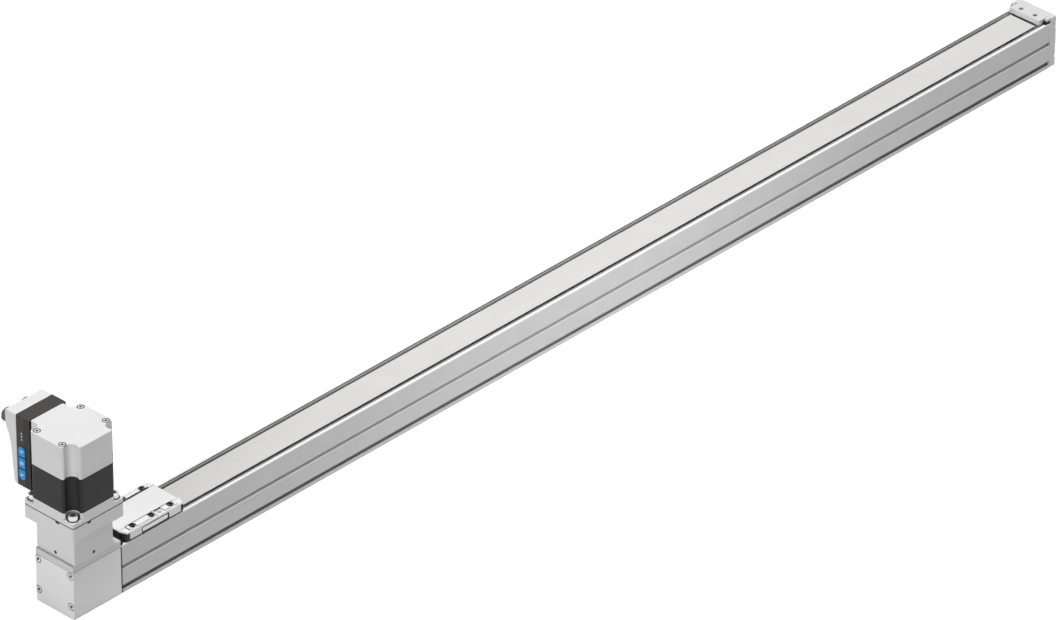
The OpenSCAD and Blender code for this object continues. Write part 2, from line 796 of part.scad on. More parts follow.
module pod_cover() {
    color("#c6c8c9") difference() {
        along_x(pod_x, pod_x + pod_w) pod_cover_2d(0);
        translate([0, -eps, 0]) along_x(pod_x + pod_wall, pod_x + pod_w - pod_wall) pod_cover_2d(pod_wall);
        connectors_at() translate([0, -pod_wall - 2, 0]) rotate([-90, 0, 0])
            cylinder(h = pod_wall + 3, d = connector_d - 3 + 2 * fit_gap);
    }
}

module control_board() {
    color("#23613f") block([board_x, pod_y + pod_wall, pod_z + pod_wall],
                           [board_x + 1.6, seam_y + 1.3, motor_top - pod_wall - 0.2]);
}

stem_back = pod_x + pod_wall + 1.2;
switch_x = stem_back + button_travel + pass_gap;

module tact_switches() {
    color("#2b2c2e") for (i = [-1 : 1])
        block([switch_x, button_y - 3, pod_z + button_z + i * button_pitch - 3],
              [board_x, button_y + 3, pod_z + button_z + i * button_pitch + 3]);
}

module status_lenses() {
    color("#e6e8e6") for (k = [0 : 2])
        bar_x(pod_x - 0.2, board_x, button_y, lens_z + lens_pitch * k, lens_r);
}

module push_button(i) {
    color("#2b8fd6") {
        along_x(pod_x - button_proud, stem_back) button_2d(i, 0);
        // collar that keeps the button behind the panel
        along_x(pod_x + pod_wall + 0.2, stem_back) intersection() {
            button_2d(i, 0.55);
            translate([button_y - 9, pod_z + button_z + i * button_pitch - button_h / 2 - 0.5])
                square([18, button_h + 1]);
        }
    }
}

module connectors_at() {
    for (i = [0, 1])
        translate([pod_x + connector_inset + i * connector_pitch, seam_y + pod_cover_t, connector_z])
            children();
}

// A round plug connector that screws into the cover from outside
module connectors() {
    color("#6d6f72") connectors_at() rotate([-90, 0, 0]) difference() {
        union() {
            translate([0, 0, -pod_wall - 1]) cylinder(h = pod_wall + 1 + eps, d = connector_d - 3);
            cylinder(h = connector_out - 1, d = connector_d - 2.6);
            translate([0, 0, 1.8]) cylinder(h = 4.4, d = connector_d);
            cylinder(h = connector_out, d = connector_d - 4);
        }
        // ring space for the plug, round the carrier of the pins
        translate([0, 0, 3]) difference() {
            cylinder(h = connector_out, d = connector_d - 5);
            translate([0, 0, -1]) cylinder(h = connector_out - 2.6, d = connector_d - 6.4);
        }
        for (a = [45 : 90 : 315]) rotate(a) translate([1.8, 0, 4]) cylinder(h = 6, d = 0.9);
        translate([0, 0, 4]) cylinder(h = 6, d = 0.9);
    }
}

/* ---- far end ---- */

cap_screw_head = 3.2;

module end_cap() {
    color("#b9babb") difference() {
        union() {
            along_x(x_far, x_far + cap_t)
                translate([0, (profile_h + cap_rise + 0.3) / 2])
                    round_rect(profile_w, profile_h + cap_rise - 0.3, 1);
            // lugs behind the buffers
            both_sides() block([x_far - lug_len, lug_in, buffer_top],
                               [x_far + 1, profile_w / 2 - 0.6, profile_h + cap_rise]);
            // shelf that carries the end of the cover strip
            block([x_far - clamp_len, -14.4, strip_bottom - 3.4], [x_far + 1, 14.4, strip_bottom]);
        }
        // counterbores that break out of the sides
        translate([x_far + cap_t - cap_screw_head, 0, 0]) end_screws_at() rotate([0, 90, 0])
            screw_hole([m4[0], 8.4, m4[2]], cap_t + 1, cap_t);
        bar_x(x_far - 1, x_far + cap_t + 1, 0, belt_z - 13, m5[0] / 2 + screw_gap);
        for (side = [-1, 1])
            post(clamp_screw_x, side * clamp_screw_y, strip_bottom - 4, strip_bottom + 1,
                 m3[0] / 2 + screw_gap);
    }
}

module end_cap_screws() {
    color("#d9dadb") translate([x_far + cap_t - cap_screw_head, 0, 0]) end_screws_at()
        rotate([0, 90, 0]) cap_screw([m4[0], m4[1], cap_screw_head - 0.3], cap_t - cap_screw_head + 12);
}

module strip_clamp() {
    color("#c9cacb") difference() {
        along_x(x_far - clamp_len, x_far) translate([0, (strip_top + profile_h + cap_rise) / 2])
            round_rect(2 * clamp_half, profile_h + cap_rise - strip_top, 0.6);
        // lip that eases the strip under the clamp
        translate([x_far - clamp_len, 0, strip_top]) rotate([0, 45, 0])
            cube([1.6, 2 * clamp_half + 2, 1.6], center = true);
        for (side = [-1, 1])
            translate([clamp_screw_x, side * clamp_screw_y, profile_h + cap_rise - 2.2])
                screw_hole([m3[0], 4.6, 2], 6, 3);
    }
}

module strip_clamp_screws() {
    color("#8b8e91") for (side = [-1, 1])
        translate([clamp_screw_x, side * clamp_screw_y, profile_h + cap_rise - 2.2])
            cap_screw([m3[0], 4.6, 2], 6.4);
}

yoke_half = 16;
yoke_x0 = idler_x - 9;
yoke_x1 = x_far - 2;
yoke_top = strip_bottom - 3.7;

module idler_yoke() {
    color("#9fa3a6") difference() {
        block([yoke_x0, -yoke_half, floor_t], [yoke_x1, yoke_half, yoke_top]);
        post(idler_x, 0, bay_bottom + 1, bay_top - 1, 12.5);
        block([yoke_x0 - 1, -12.5, bay_bottom + 1], [idler_x, 12.5, bay_top - 1]);
        post(idler_x, 0, bay_bottom - 8, yoke_top + 1, axle_d / 2 + fit_gap);
        bar_x(idler_x + 2, x_far, 0, belt_z - 13, m5[0] / 2 + screw_gap);
    }
}

module idler_axle() {
    color("#8f9396") post(idler_x, 0, bay_bottom - 8, yoke_top, axle_d / 2);
}

module tension_screw() {
    color("#3a3c3e") translate([x_far + cap_t, 0, belt_z - 13]) rotate([0, 90, 0])
        cap_screw([m5[0], m5[1], 3], cap_t + idler_inset - 4);
}

module drive_end_buffers() {
    color("#1f1f20") both_sides() block([x_near, nose_half + 0.4, profile_h + 0.3],
                                        [x_near + 3, profile_w / 2 - 1, plate_top - 0.6]);
}

module far_end_buffers() {
    color("#1f1f20") both_sides() block([x_far - lug_len - 1.5, lug_in, profile_h + 0.3],
                                        [x_far, profile_w / 2 - 1, buffer_top]);
}

/* ---- belt, pulleys and the turning parts ---- */

module belt_loop_2d(r) {
    translate([shaft_x, 0]) circle(r);
    translate([idler_x, 0]) circle(r);
    translate([shaft_x, -r]) square([idler_x - shaft_x, 2 * r]);
}

tooth_angle = 360 / pulley_teeth;

// The belt's teeth are drawn where they work: round both pulleys and in the clamp
module belt() {
    color("#26272a") along_z(belt_bottom, belt_top) {
        difference() {
            belt_loop_2d(back_r);
            belt_loop_2d(land_r);
        }
        for (i = [0 : pulley_teeth / 2]) {
            translate([shaft_x, 0]) rotate(90 + i * tooth_angle) belt_tooth(tooth_root_r + 0.35);
            translate([idler_x, 0]) rotate(i * tooth_angle - 90) belt_tooth(tooth_root_r + 0.35);
        }
        for (i = [0 : clamp_teeth - 1])
            translate([clamp_x + (i - (clamp_teeth - 1) / 2) * belt_pitch, -tooth_root_r])
                belt_tooth(0.35, 90);
    }
}

module belt_tooth(r, turn = 0) {
    intersection() {
        translate(turn == 0 ? [r - 0.35, 0] : [0, 0]) circle(belt_tooth_r, $fn = 24);
        translate(turn == 0 ? [r - 2, -2] : [-2, -0.4]) square([2 + 0.1, 4]);
    }
}

module toothed_pulley(bore_r) {
    difference() {
        union() {
            translate([0, 0, pulley_bottom]) cylinder(h = flange_t, r = flange_r);
            translate([0, 0, pulley_top - flange_t]) cylinder(h = flange_t, r = flange_r);
            difference() {
                translate([0, 0, pulley_bottom + flange_t - eps])
                    cylinder(h = pulley_top - pulley_bottom - 2 * flange_t + 2 * eps, r = pulley_r);
                for (i = [0 : pulley_teeth - 1]) rotate(i * tooth_angle)
                    translate([tooth_root_r, 0, pulley_bottom])
                        cylinder(h = pulley_top - pulley_bottom, r = groove_r, $fn = 24);
            }
        }
        translate([0, 0, pulley_bottom - 1]) cylinder(h = pulley_top, r = bore_r);
    }
}

module drive_pulley() {
    color("#b4b7b9") translate([shaft_x, 0, 0]) toothed_pulley(shaft_d / 2 + fit_gap);
}

hub_z = plate_top + 1.4;
hub_h = 12;
jaw_h = 8;
upper_hub_z = hub_z + hub_h + jaw_h + 0.6;

module pulley_shaft() {
    color("#8f9396") {
        post(shaft_x, 0, bearing_low_z, hub_z + hub_h - 1, shaft_d / 2);
        post(shaft_x, 0, pulley_top, bearing_high_z, shaft_d / 2 + 1.4);
    }
}

// A sector of a ring between two radii, half degrees to either side of the X axis
module ring_sector(r0, r1, half, h) {
    intersection() {
        difference() {
            cylinder(h = h, r = r1);
            translate([0, 0, -1]) cylinder(h = h + 2, r = r0);
        }
        linear_extrude(h) polygon([[0, 0], 2 * r1 * [cos(half), -sin(half)],
                                   2 * r1 * [cos(half), sin(half)]]);
    }
}

// Three jaws, with room for the spider's lobes between the jaws of both hubs
module jaws(z0, turn) {
    for (a = [0 : 120 : 240]) rotate(a + turn) translate([0, 0, z0])
        ring_sector(spider_core_r + 0.5, coupling_d / 2 - 0.5, jaw_angle, jaw_h);
}

module hub(z0, bore_r) {
    difference() {
        translate([0, 0, z0]) cylinder(h = hub_h, d = coupling_d);
        translate([0, 0, z0 - 1]) cylinder(h = hub_h + 2, r = bore_r + fit_gap);
        translate([-coupling_d, -0.6, z0 - 1]) cube([coupling_d, 1.2, hub_h + 2]);
        translate([-coupling_d * 0.33, -coupling_d / 2, z0 + hub_h / 2 - 3])
            rotate([-90, 0, 0]) cylinder(h = coupling_d, r = 1.5);
    }
}

module lower_coupling_hub() {
    color("#8b8e91") translate([shaft_x, 0, 0]) {
        hub(hub_z, shaft_d / 2);
        jaws(hub_z + hub_h - eps, 0);
    }
}

module upper_coupling_hub() {
    color("#8b8e91") translate([shaft_x, 0, 0]) {
        hub(upper_hub_z, motor_shaft_d / 2);
        jaws(upper_hub_z - jaw_h + eps, spider_step);
    }
}

module coupling_spider() {
    color("#c23b2e") translate([shaft_x, 0, hub_z + hub_h + 0.3]) difference() {
        union() {
            cylinder(h = jaw_h, r = spider_core_r);
            for (a = [spider_step / 2 : spider_step : 360]) rotate(a)
                ring_sector(spider_core_r - 0.5, coupling_d / 2 - 1,
                            spider_step / 2 - jaw_angle - 1.5, jaw_h);
        }
        translate([0, 0, -1]) cylinder(h = jaw_h + 2, r = spider_core_r / 2);
    }
}

magnet_z = board_z - 3.4;

module motor_shaft() {
    color("#8f9396") {
        post(shaft_x, 0, upper_hub_z + 0.5, magnet_z, motor_shaft_d / 2);
        post(shaft_x, 0, bearing_rear_z - 1.5, bearing_rear_z, motor_shaft_d / 2 + 1.4);
    }
}

module rotor_stack() {
    color("#5c5f62") difference() {
        post(shaft_x, 0, bell_top + 1, stator_top - 1, rotor_d / 2);
        post(shaft_x, 0, bell_top, stator_top, motor_shaft_d / 2 + fit_gap);
    }
}

module encoder_magnet() {
    color("#2b2c2e") post(shaft_x, 0, magnet_z, magnet_z + 2.4, 5);
}

module idler_pulley() {
    color("#b4b7b9") translate([idler_x, 0, 0]) toothed_pulley(bearing_idler[1] / 2);
}

module idler_bearings() {
    color("#9fa3a6") translate([idler_x, 0, 0]) {
        translate([0, 0, pulley_bottom]) ball_bearing(bearing_idler);
        translate([0, 0, pulley_top - bearing_idler[2]]) ball_bearing(bearing_idler);
    }
}

/* ---- carriage ---- */

module runner_2d() {
    difference() {
        translate([-runner_w / 2, runner_z]) square([runner_w, adapter_z - runner_z]);
        translate([0, floor_t]) rail_2d(guide_gap);
    }
}

module adapter_bolts_at() {
    for (sx = [-1, 1], sy = [-1, 1])
        translate([carriage_x + sx * adapter_bolt, sy * adapter_bolt, 0]) children();
}

module leg_bolts_at() {
    for (sx = [-1, 0, 1], sy = [-1, 1])
        translate([carriage_x + sx * leg_bolt_x, sy * (leg_outer - leg_t / 2), 0]) children();
}

module runner_block() {
    color("#8f9396") difference() {
        along_x(carriage_x - runner_len / 2, carriage_x + runner_len / 2) runner_2d();
        adapter_bolts_at() translate([0, 0, adapter_z - 3.6])
            cylinder(h = 5, d = m3[0] + 2 * screw_gap);
    }
}

module runner_end_caps() {
    color("#2f6b45") for (s = [0, 1])
        translate([carriage_x + (s == 0 ? -runner_len / 2 - runner_cap_t : runner_len / 2), 0, 0])
            along_x(0, runner_cap_t) difference() {
                translate([-runner_w / 2 + 0.6, runner_z + 0.3])
                    square([runner_w - 1.2, adapter_z - runner_z - 0.8]);
                translate([0, floor_t]) rail_2d(guide_gap);
            }
}

module runner_adapter() {
    color("#b9babb") difference() {
        block([carriage_x - leg_len / 2, -leg_outer, adapter_z],
              [carriage_x + leg_len / 2, leg_outer, leg_z]);
        adapter_bolts_at() translate([0, 0, leg_z - m3[2]]) screw_hole(m3, adapter_t, m3[2] + 1);
        leg_bolts_at() translate([0, 0, adapter_z + m25[2]]) mirror([0, 0, 1])
            screw_hole(m25, adapter_t, m25[2] + 1);
    }
}

module adapter_screws() {
    color("#3a3c3e") adapter_bolts_at() translate([0, 0, leg_z - m3[2]]) cap_screw(m3, 4);
}

module leg_screws() {
    color("#3a3c3e") leg_bolts_at() translate([0, 0, adapter_z + m25[2]]) mirror([0, 0, 1])
        cap_screw(m25, adapter_t + 4);
}

// Plan outline of the carriage, grown by g
module carriage_plan(g) {
    a = half_len + g;
    b = side_half + g;
    w = profile_w / 2 + g;
    polygon([[a, -nose_half], [a, nose_half], [b, w], [-b, w],
             [-a, nose_half], [-a, -nose_half], [-b, -w], [b, -w]]);
}

module threads_at() {
    for (i = [-1 : 1], s = [-1, 1])
        translate([carriage_x + i * thread_pitch_x, s * thread_pitch_y / 2, 0]) children();
}

module carriage_legs() {
    both_sides() {
        block([carriage_x - leg_len / 2, leg_outer - leg_t, leg_z],
              [carriage_x + leg_len / 2, leg_outer, neck_z]);
        block([carriage_x - leg_len / 2, leg_neck_in, neck_z - eps],
              [carriage_x + leg_len / 2, leg_outer, body_z + eps]);
    }
}

lube_x = 8.8;

module carriage_body() {
    color("#d2d3d3") difference() {
        union() {
            translate([carriage_x, 0, 0]) {
                along_z(body_z, body_top - skin_t + eps) difference() {
                    carriage_plan(0);
                    for (s = [-1, 1]) translate([s * half_len, 0])
                        square([2 * wiper_depth, profile_w + 2], center = true);
                }
                along_z(body_top - skin_t, body_top - carriage_chamfer) carriage_plan(0);
                along_z(body_top - carriage_chamfer - eps, body_top) carriage_plan(-carriage_chamfer);
                block([-pad_half, channel_half, body_top - eps], [pad_half, pad_edge, pad_top]);
                block([-pad_half, -pad_edge, body_top - eps], [lube_x - 4, -channel_half, pad_top]);
                block([lube_x + 4, -pad_edge, body_top - eps], [pad_half, -channel_half, pad_top]);
            }
            carriage_legs();
        }
        // channel of the strip cover
        block([carriage_x - half_len - 1, -channel_half, channel_z],
              [carriage_x + half_len + 1, channel_half, pad_top + 1]);
        threads_at() {
            post(0, 0, body_z + 1, pad_top + 1, thread_core_d / 2);
            post(0, 0, pad_top - centring_depth, pad_top + 1, centring_d / 2);
        }
        // lubrication port
        post(carriage_x + lube_x, -pad_edge + 2.2, body_z + 2, body_top + 1, 1);
        post(carriage_x + lube_x, -pad_edge + 2.2, body_top - 0.6, body_top + 1, 1.9);
        // recesses of the trip plates
        both_sides() block([carriage_x - trip_half - 0.2, profile_w / 2 - trip_depth, body_z - 1],
                           [carriage_x + trip_half + 0.2, profile_w / 2 + 1, body_z + trip_h + 0.2]);
        both_sides() trip_screws_at() cylinder(h = 5, d = m2[0] + 2 * screw_gap);
        leg_bolts_at() translate([0, 0, leg_z - 1]) cylinder(h = 8, d = m25[0] + 2 * screw_gap);
    }
}

module trip_screws_at() {
    for (s = [-1, 1])
        translate([carriage_x + s * (trip_half - 2), profile_w / 2 - trip_depth - 1.5, body_z + 2.4])
            rotate([-90, 0, 0]) children();
}

module trip_plates() {
    color("#9fa3a6") both_sides() difference() {
        block([carriage_x - trip_half, profile_w / 2 - trip_depth, body_z],
              [carriage_x + trip_half, profile_w / 2 - 0.4, body_z + trip_h]);
        trip_screws_at() cylinder(h = 5, d = m2[0] + 2 * screw_gap);
        trip_screws_at() translate([0, 0, trip_depth + 0.6]) cylinder(h = 5, d = m2[1] + 2 * screw_gap);
    }
}

module trip_plate_screws() {
    color("#3a3c3e") both_sides() trip_screws_at() translate([0, 0, trip_depth + 0.6])
        cap_screw(trip_screw, 1.8);
}

module strip_cover() {
    w = channel_half - cover_gap;
    r = cover_round;
    top = body_top;
    color("#dcddde") translate([carriage_x, w, 0]) rotate([90, 0, 0]) linear_extrude(2 * w) difference() {
        union() {
            translate([-half_len, channel_z]) square([2 * half_len, top - r - channel_z]);
            translate([-half_len + r, channel_z]) square([2 * (half_len - r), top - channel_z]);
            for (s = [-1, 1]) translate([s * (half_len - r), top - r]) circle(r);
        }
        for (s = [-1, 1]) translate([s * half_len, top - skin_t - 5])
            square([2 * wiper_depth, 10], center = true);
    }
}

// Wiper blocks under the skin, each with a lip that reaches down towards the strip
module strip_wipers() {
    color("#232324") for (s = [0, 1]) translate([carriage_x, 0, 0]) mirror([s, 0, 0]) {
        along_z(body_z - 0.6, body_top - skin_t) difference() {
            carriage_plan(-0.2);
            translate([-wiper_depth, 0]) square([2 * half_len, profile_w + 2], center = true);
        }
        block([half_len - 5, 1 - strip_w / 2, strip_top + pass_gap],
              [half_len - 2, strip_w / 2 - 1, body_z - 0.6 + eps]);
    }
}

jaw_half = clamp_teeth * belt_pitch / 2 + 1.5;
jaw_top = belt_top + 6.4;
clamp_bolt_z = belt_top + 3.4;

module clamp_bolts_at() {
    for (s = [-1, 1]) translate([clamp_x + s * clamp_bolt_x, 0, clamp_bolt_z]) children();
}

module belt_clamp() {
    color("#b4b7b9") difference() {
        block([clamp_x - jaw_half, -land_r, leg_z], [clamp_x + jaw_half, -4, jaw_top]);
        for (i = [0 : clamp_teeth - 1])
            post(clamp_x + (i - (clamp_teeth - 1) / 2) * belt_pitch, -tooth_root_r,
                 belt_bottom - 0.3, belt_top + 0.3, groove_r, $fn = 24);
        clamp_bolts_at() translate([0, -4, 0]) rotate([-90, 0, 0])
            screw_hole(clamp_screw, 10, 5);
    }
}

module clamp_plate() {
    color("#9fa3a6") difference() {
        union() {
            block([clamp_x - jaw_half, -leg_outer + leg_t, leg_z],
                  [clamp_x + jaw_half, -back_r - 0.05, jaw_top]);
            block([clamp_x - jaw_half, -back_r - 0.05 - eps, belt_top + 0.3],
                  [clamp_x + jaw_half, -land_r, jaw_top]);
        }
        clamp_bolts_at() translate([0, -4, 0]) rotate([-90, 0, 0])
            screw_hole(clamp_screw, 10, 5);
    }
}

module belt_clamp_screws() {
    color("#3a3c3e") clamp_bolts_at() translate([0, -4, 0]) rotate([-90, 0, 0]) cap_screw(clamp_screw, 7.6);
}

module button_top() {
    push_button(1);
}

module button_middle() {
    push_button(0);
}

module button_bottom() {
    push_button(-1);
}

profile();
guide_rail();
rail_screws();
cover_strip();
drive_housing();
housing_screws();
top_plate();
coupling_housing();
coupling_housing_bolts();
shaft_bearings();
motor_bell();
motor_stator();
rear_cover();
rear_bearing_plate();
motor_bearings();
motor_screws();
rear_cover_screws();
encoder_board();
pod_base();
pod_cover();
control_board();
tact_switches();
status_lenses();
connectors();
end_cap();
end_cap_screws();
strip_clamp();
strip_clamp_screws();
idler_yoke();
idler_axle();
tension_screw();
drive_end_buffers();
far_end_buffers();
belt();
drive_pulley();
pulley_shaft();
lower_coupling_hub();
coupling_spider();
upper_coupling_hub();
motor_shaft();
rotor_stack();
encoder_magnet();
idler_pulley();
idler_bearings();
runner_block();
runner_end_caps();
runner_adapter();
adapter_screws();
leg_screws();
carriage_body();
strip_cover();
strip_wipers();
belt_clamp();
clamp_plate();
belt_clamp_screws();
trip_plates();
trip_plate_screws();
button_top();
button_middle();
button_bottom();
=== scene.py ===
import json
import math
import bmesh
import bpy
from mathutils import Matrix, Vector


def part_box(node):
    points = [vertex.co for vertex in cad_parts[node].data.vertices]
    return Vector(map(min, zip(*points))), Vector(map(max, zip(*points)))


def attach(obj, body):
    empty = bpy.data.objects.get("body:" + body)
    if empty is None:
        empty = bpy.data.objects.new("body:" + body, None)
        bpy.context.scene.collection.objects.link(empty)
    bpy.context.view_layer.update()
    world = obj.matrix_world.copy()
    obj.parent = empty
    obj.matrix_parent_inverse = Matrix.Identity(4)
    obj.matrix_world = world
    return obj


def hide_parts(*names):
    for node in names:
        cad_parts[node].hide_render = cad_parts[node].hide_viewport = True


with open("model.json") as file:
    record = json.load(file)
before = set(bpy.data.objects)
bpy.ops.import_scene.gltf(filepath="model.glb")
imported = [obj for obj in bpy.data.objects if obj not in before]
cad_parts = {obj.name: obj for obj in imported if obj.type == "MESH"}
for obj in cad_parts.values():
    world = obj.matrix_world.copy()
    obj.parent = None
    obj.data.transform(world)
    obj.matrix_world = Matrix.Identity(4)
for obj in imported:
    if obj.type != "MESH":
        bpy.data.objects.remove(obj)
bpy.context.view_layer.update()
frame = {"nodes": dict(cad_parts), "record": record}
nodes = frame["nodes"]
bodyOfNode = {name: body for body, names in frame["record"]["behaviour"]["bodies"].items() for name in names}
slotOfNode = {part["node"]: part["material_slot"] for part in frame["record"]["subparts"]}
print("frame loaded:", len(nodes), "nodes")

mm = 0.001
weldDistance = 0.000002


# shader groups
def newGroup(name, inputs, outputs):
    group = bpy.data.node_groups.new(name, "ShaderNodeTree")
    for label, kind, value in inputs:
        socket = group.interface.new_socket(name=label, in_out="INPUT", socket_type=kind)
        socket.default_value = value
    for label, kind in outputs:
        group.interface.new_socket(name=label, in_out="OUTPUT", socket_type=kind)
    return group, group.nodes.new("NodeGroupInput"), group.nodes.new("NodeGroupOutput")


def stretchedNoise(group, source, detail):
    # noise on Object coordinates, finer along the axes with the larger stretch
    place = group.nodes.new("ShaderNodeTexCoord")
    scaled = group.nodes.new("ShaderNodeVectorMath")
    scaled.operation = "MULTIPLY"
    noise = group.nodes.new("ShaderNodeTexNoise")
    noise.inputs["Detail"].default_value = detail
    group.links.new(place.outputs["Object"], scaled.inputs[0])
    group.links.new(source.outputs["Stretch"], scaled.inputs[1])
    group.links.new(scaled.outputs[0], noise.inputs["Vector"])
    group.links.new(source.outputs["Scale"], noise.inputs["Scale"])
    return noise


def buildGrainGroup():
    group, source, sink = newGroup(
        "surfaceGrain",
        [("Stretch", "NodeSocketVector", (1, 1, 1)), ("Scale", "NodeSocketFloat", 900.0),
         ("Low", "NodeSocketFloat", 0.35), ("High", "NodeSocketFloat", 0.5)],
        [("Height", "NodeSocketFloat"), ("Roughness", "NodeSocketFloat")])
    noise = stretchedNoise(group, source, 4.0)
    spread = group.nodes.new("ShaderNodeMapRange")
    spread.inputs["From Min"].default_value = 0.3
    spread.inputs["From Max"].default_value = 0.7
    group.links.new(noise.outputs["Fac"], spread.inputs["Value"])
    group.links.new(source.outputs["Low"], spread.inputs["To Min"])
    group.links.new(source.outputs["High"], spread.inputs["To Max"])
    group.links.new(noise.outputs["Fac"], sink.inputs["Height"])
    group.links.new(spread.outputs["Result"], sink.inputs["Roughness"])
    return group


def buildToneGroup():
    # slow drift of the tone, as anodising and paint have
    group, source, sink = newGroup(
        "toneDrift",
        [("Stretch", "NodeSocketVector", (1, 1, 1)), ("Scale", "NodeSocketFloat", 40.0),
         ("Colour", "NodeSocketColor", (0.8, 0.8, 0.8, 1)),
         ("Deep", "NodeSocketColor", (0.75, 0.75, 0.75, 1))],
        [("Colour", "NodeSocketColor")])
    noise = stretchedNoise(group, source, 2.0)
    spread = group.nodes.new("ShaderNodeMapRange")
    spread.inputs["From Min"].default_value = 0.35
    spread.inputs["From Max"].default_value = 0.65
    mix = group.nodes.new("ShaderNodeMix")
    mix.data_type = "RGBA"
    group.links.new(noise.outputs["Fac"], spread.inputs["Value"])
    group.links.new(spread.outputs["Result"], mix.inputs["Factor"])
    group.links.new(source.outputs["Deep"], mix.inputs["A"])
    group.links.new(source.outputs["Colour"], mix.inputs["B"])
    group.links.new(mix.outputs["Result"], sink.inputs["Colour"])
    return group


def buildCreaseGroup():
    # darker where a surface lies in a crease, a groove or a recess
    group, source, sink = newGroup(
        "creaseShade",
        [("Colour", "NodeSocketColor", (0.8, 0.8, 0.8, 1)), ("Reach", "NodeSocketFloat", 0.002),
         ("Depth", "NodeSocketFloat", 0.2)],
        [("Colour", "NodeSocketColor")])
    crease = group.nodes.new("ShaderNodeAmbientOcclusion")
    crease.samples = 8
    spread = group.nodes.new("ShaderNodeMapRange")
    spread.inputs["From Min"].default_value = 0.15
    spread.inputs["From Max"].default_value = 0.85
    mix = group.nodes.new("ShaderNodeMix")
    mix.data_type = "RGBA"
    mix.blend_type = "MULTIPLY"
    mix.inputs["Factor"].default_value = 1.0
    group.links.new(source.outputs["Reach"], crease.inputs["Distance"])
    group.links.new(crease.outputs["AO"], spread.inputs["Value"])
    group.links.new(source.outputs["Depth"], spread.inputs["To Min"])
    group.links.new(source.outputs["Colour"], mix.inputs["A"])
    group.links.new(spread.outputs["Result"], mix.inputs["B"])
    group.links.new(mix.outputs["Result"], sink.inputs["Colour"])
    return group


grainGroup = buildGrainGroup()
toneGroup = buildToneGroup()
creaseGroup = buildCreaseGroup()
creases = {"reach": 0.0026, "depth": 0.12}

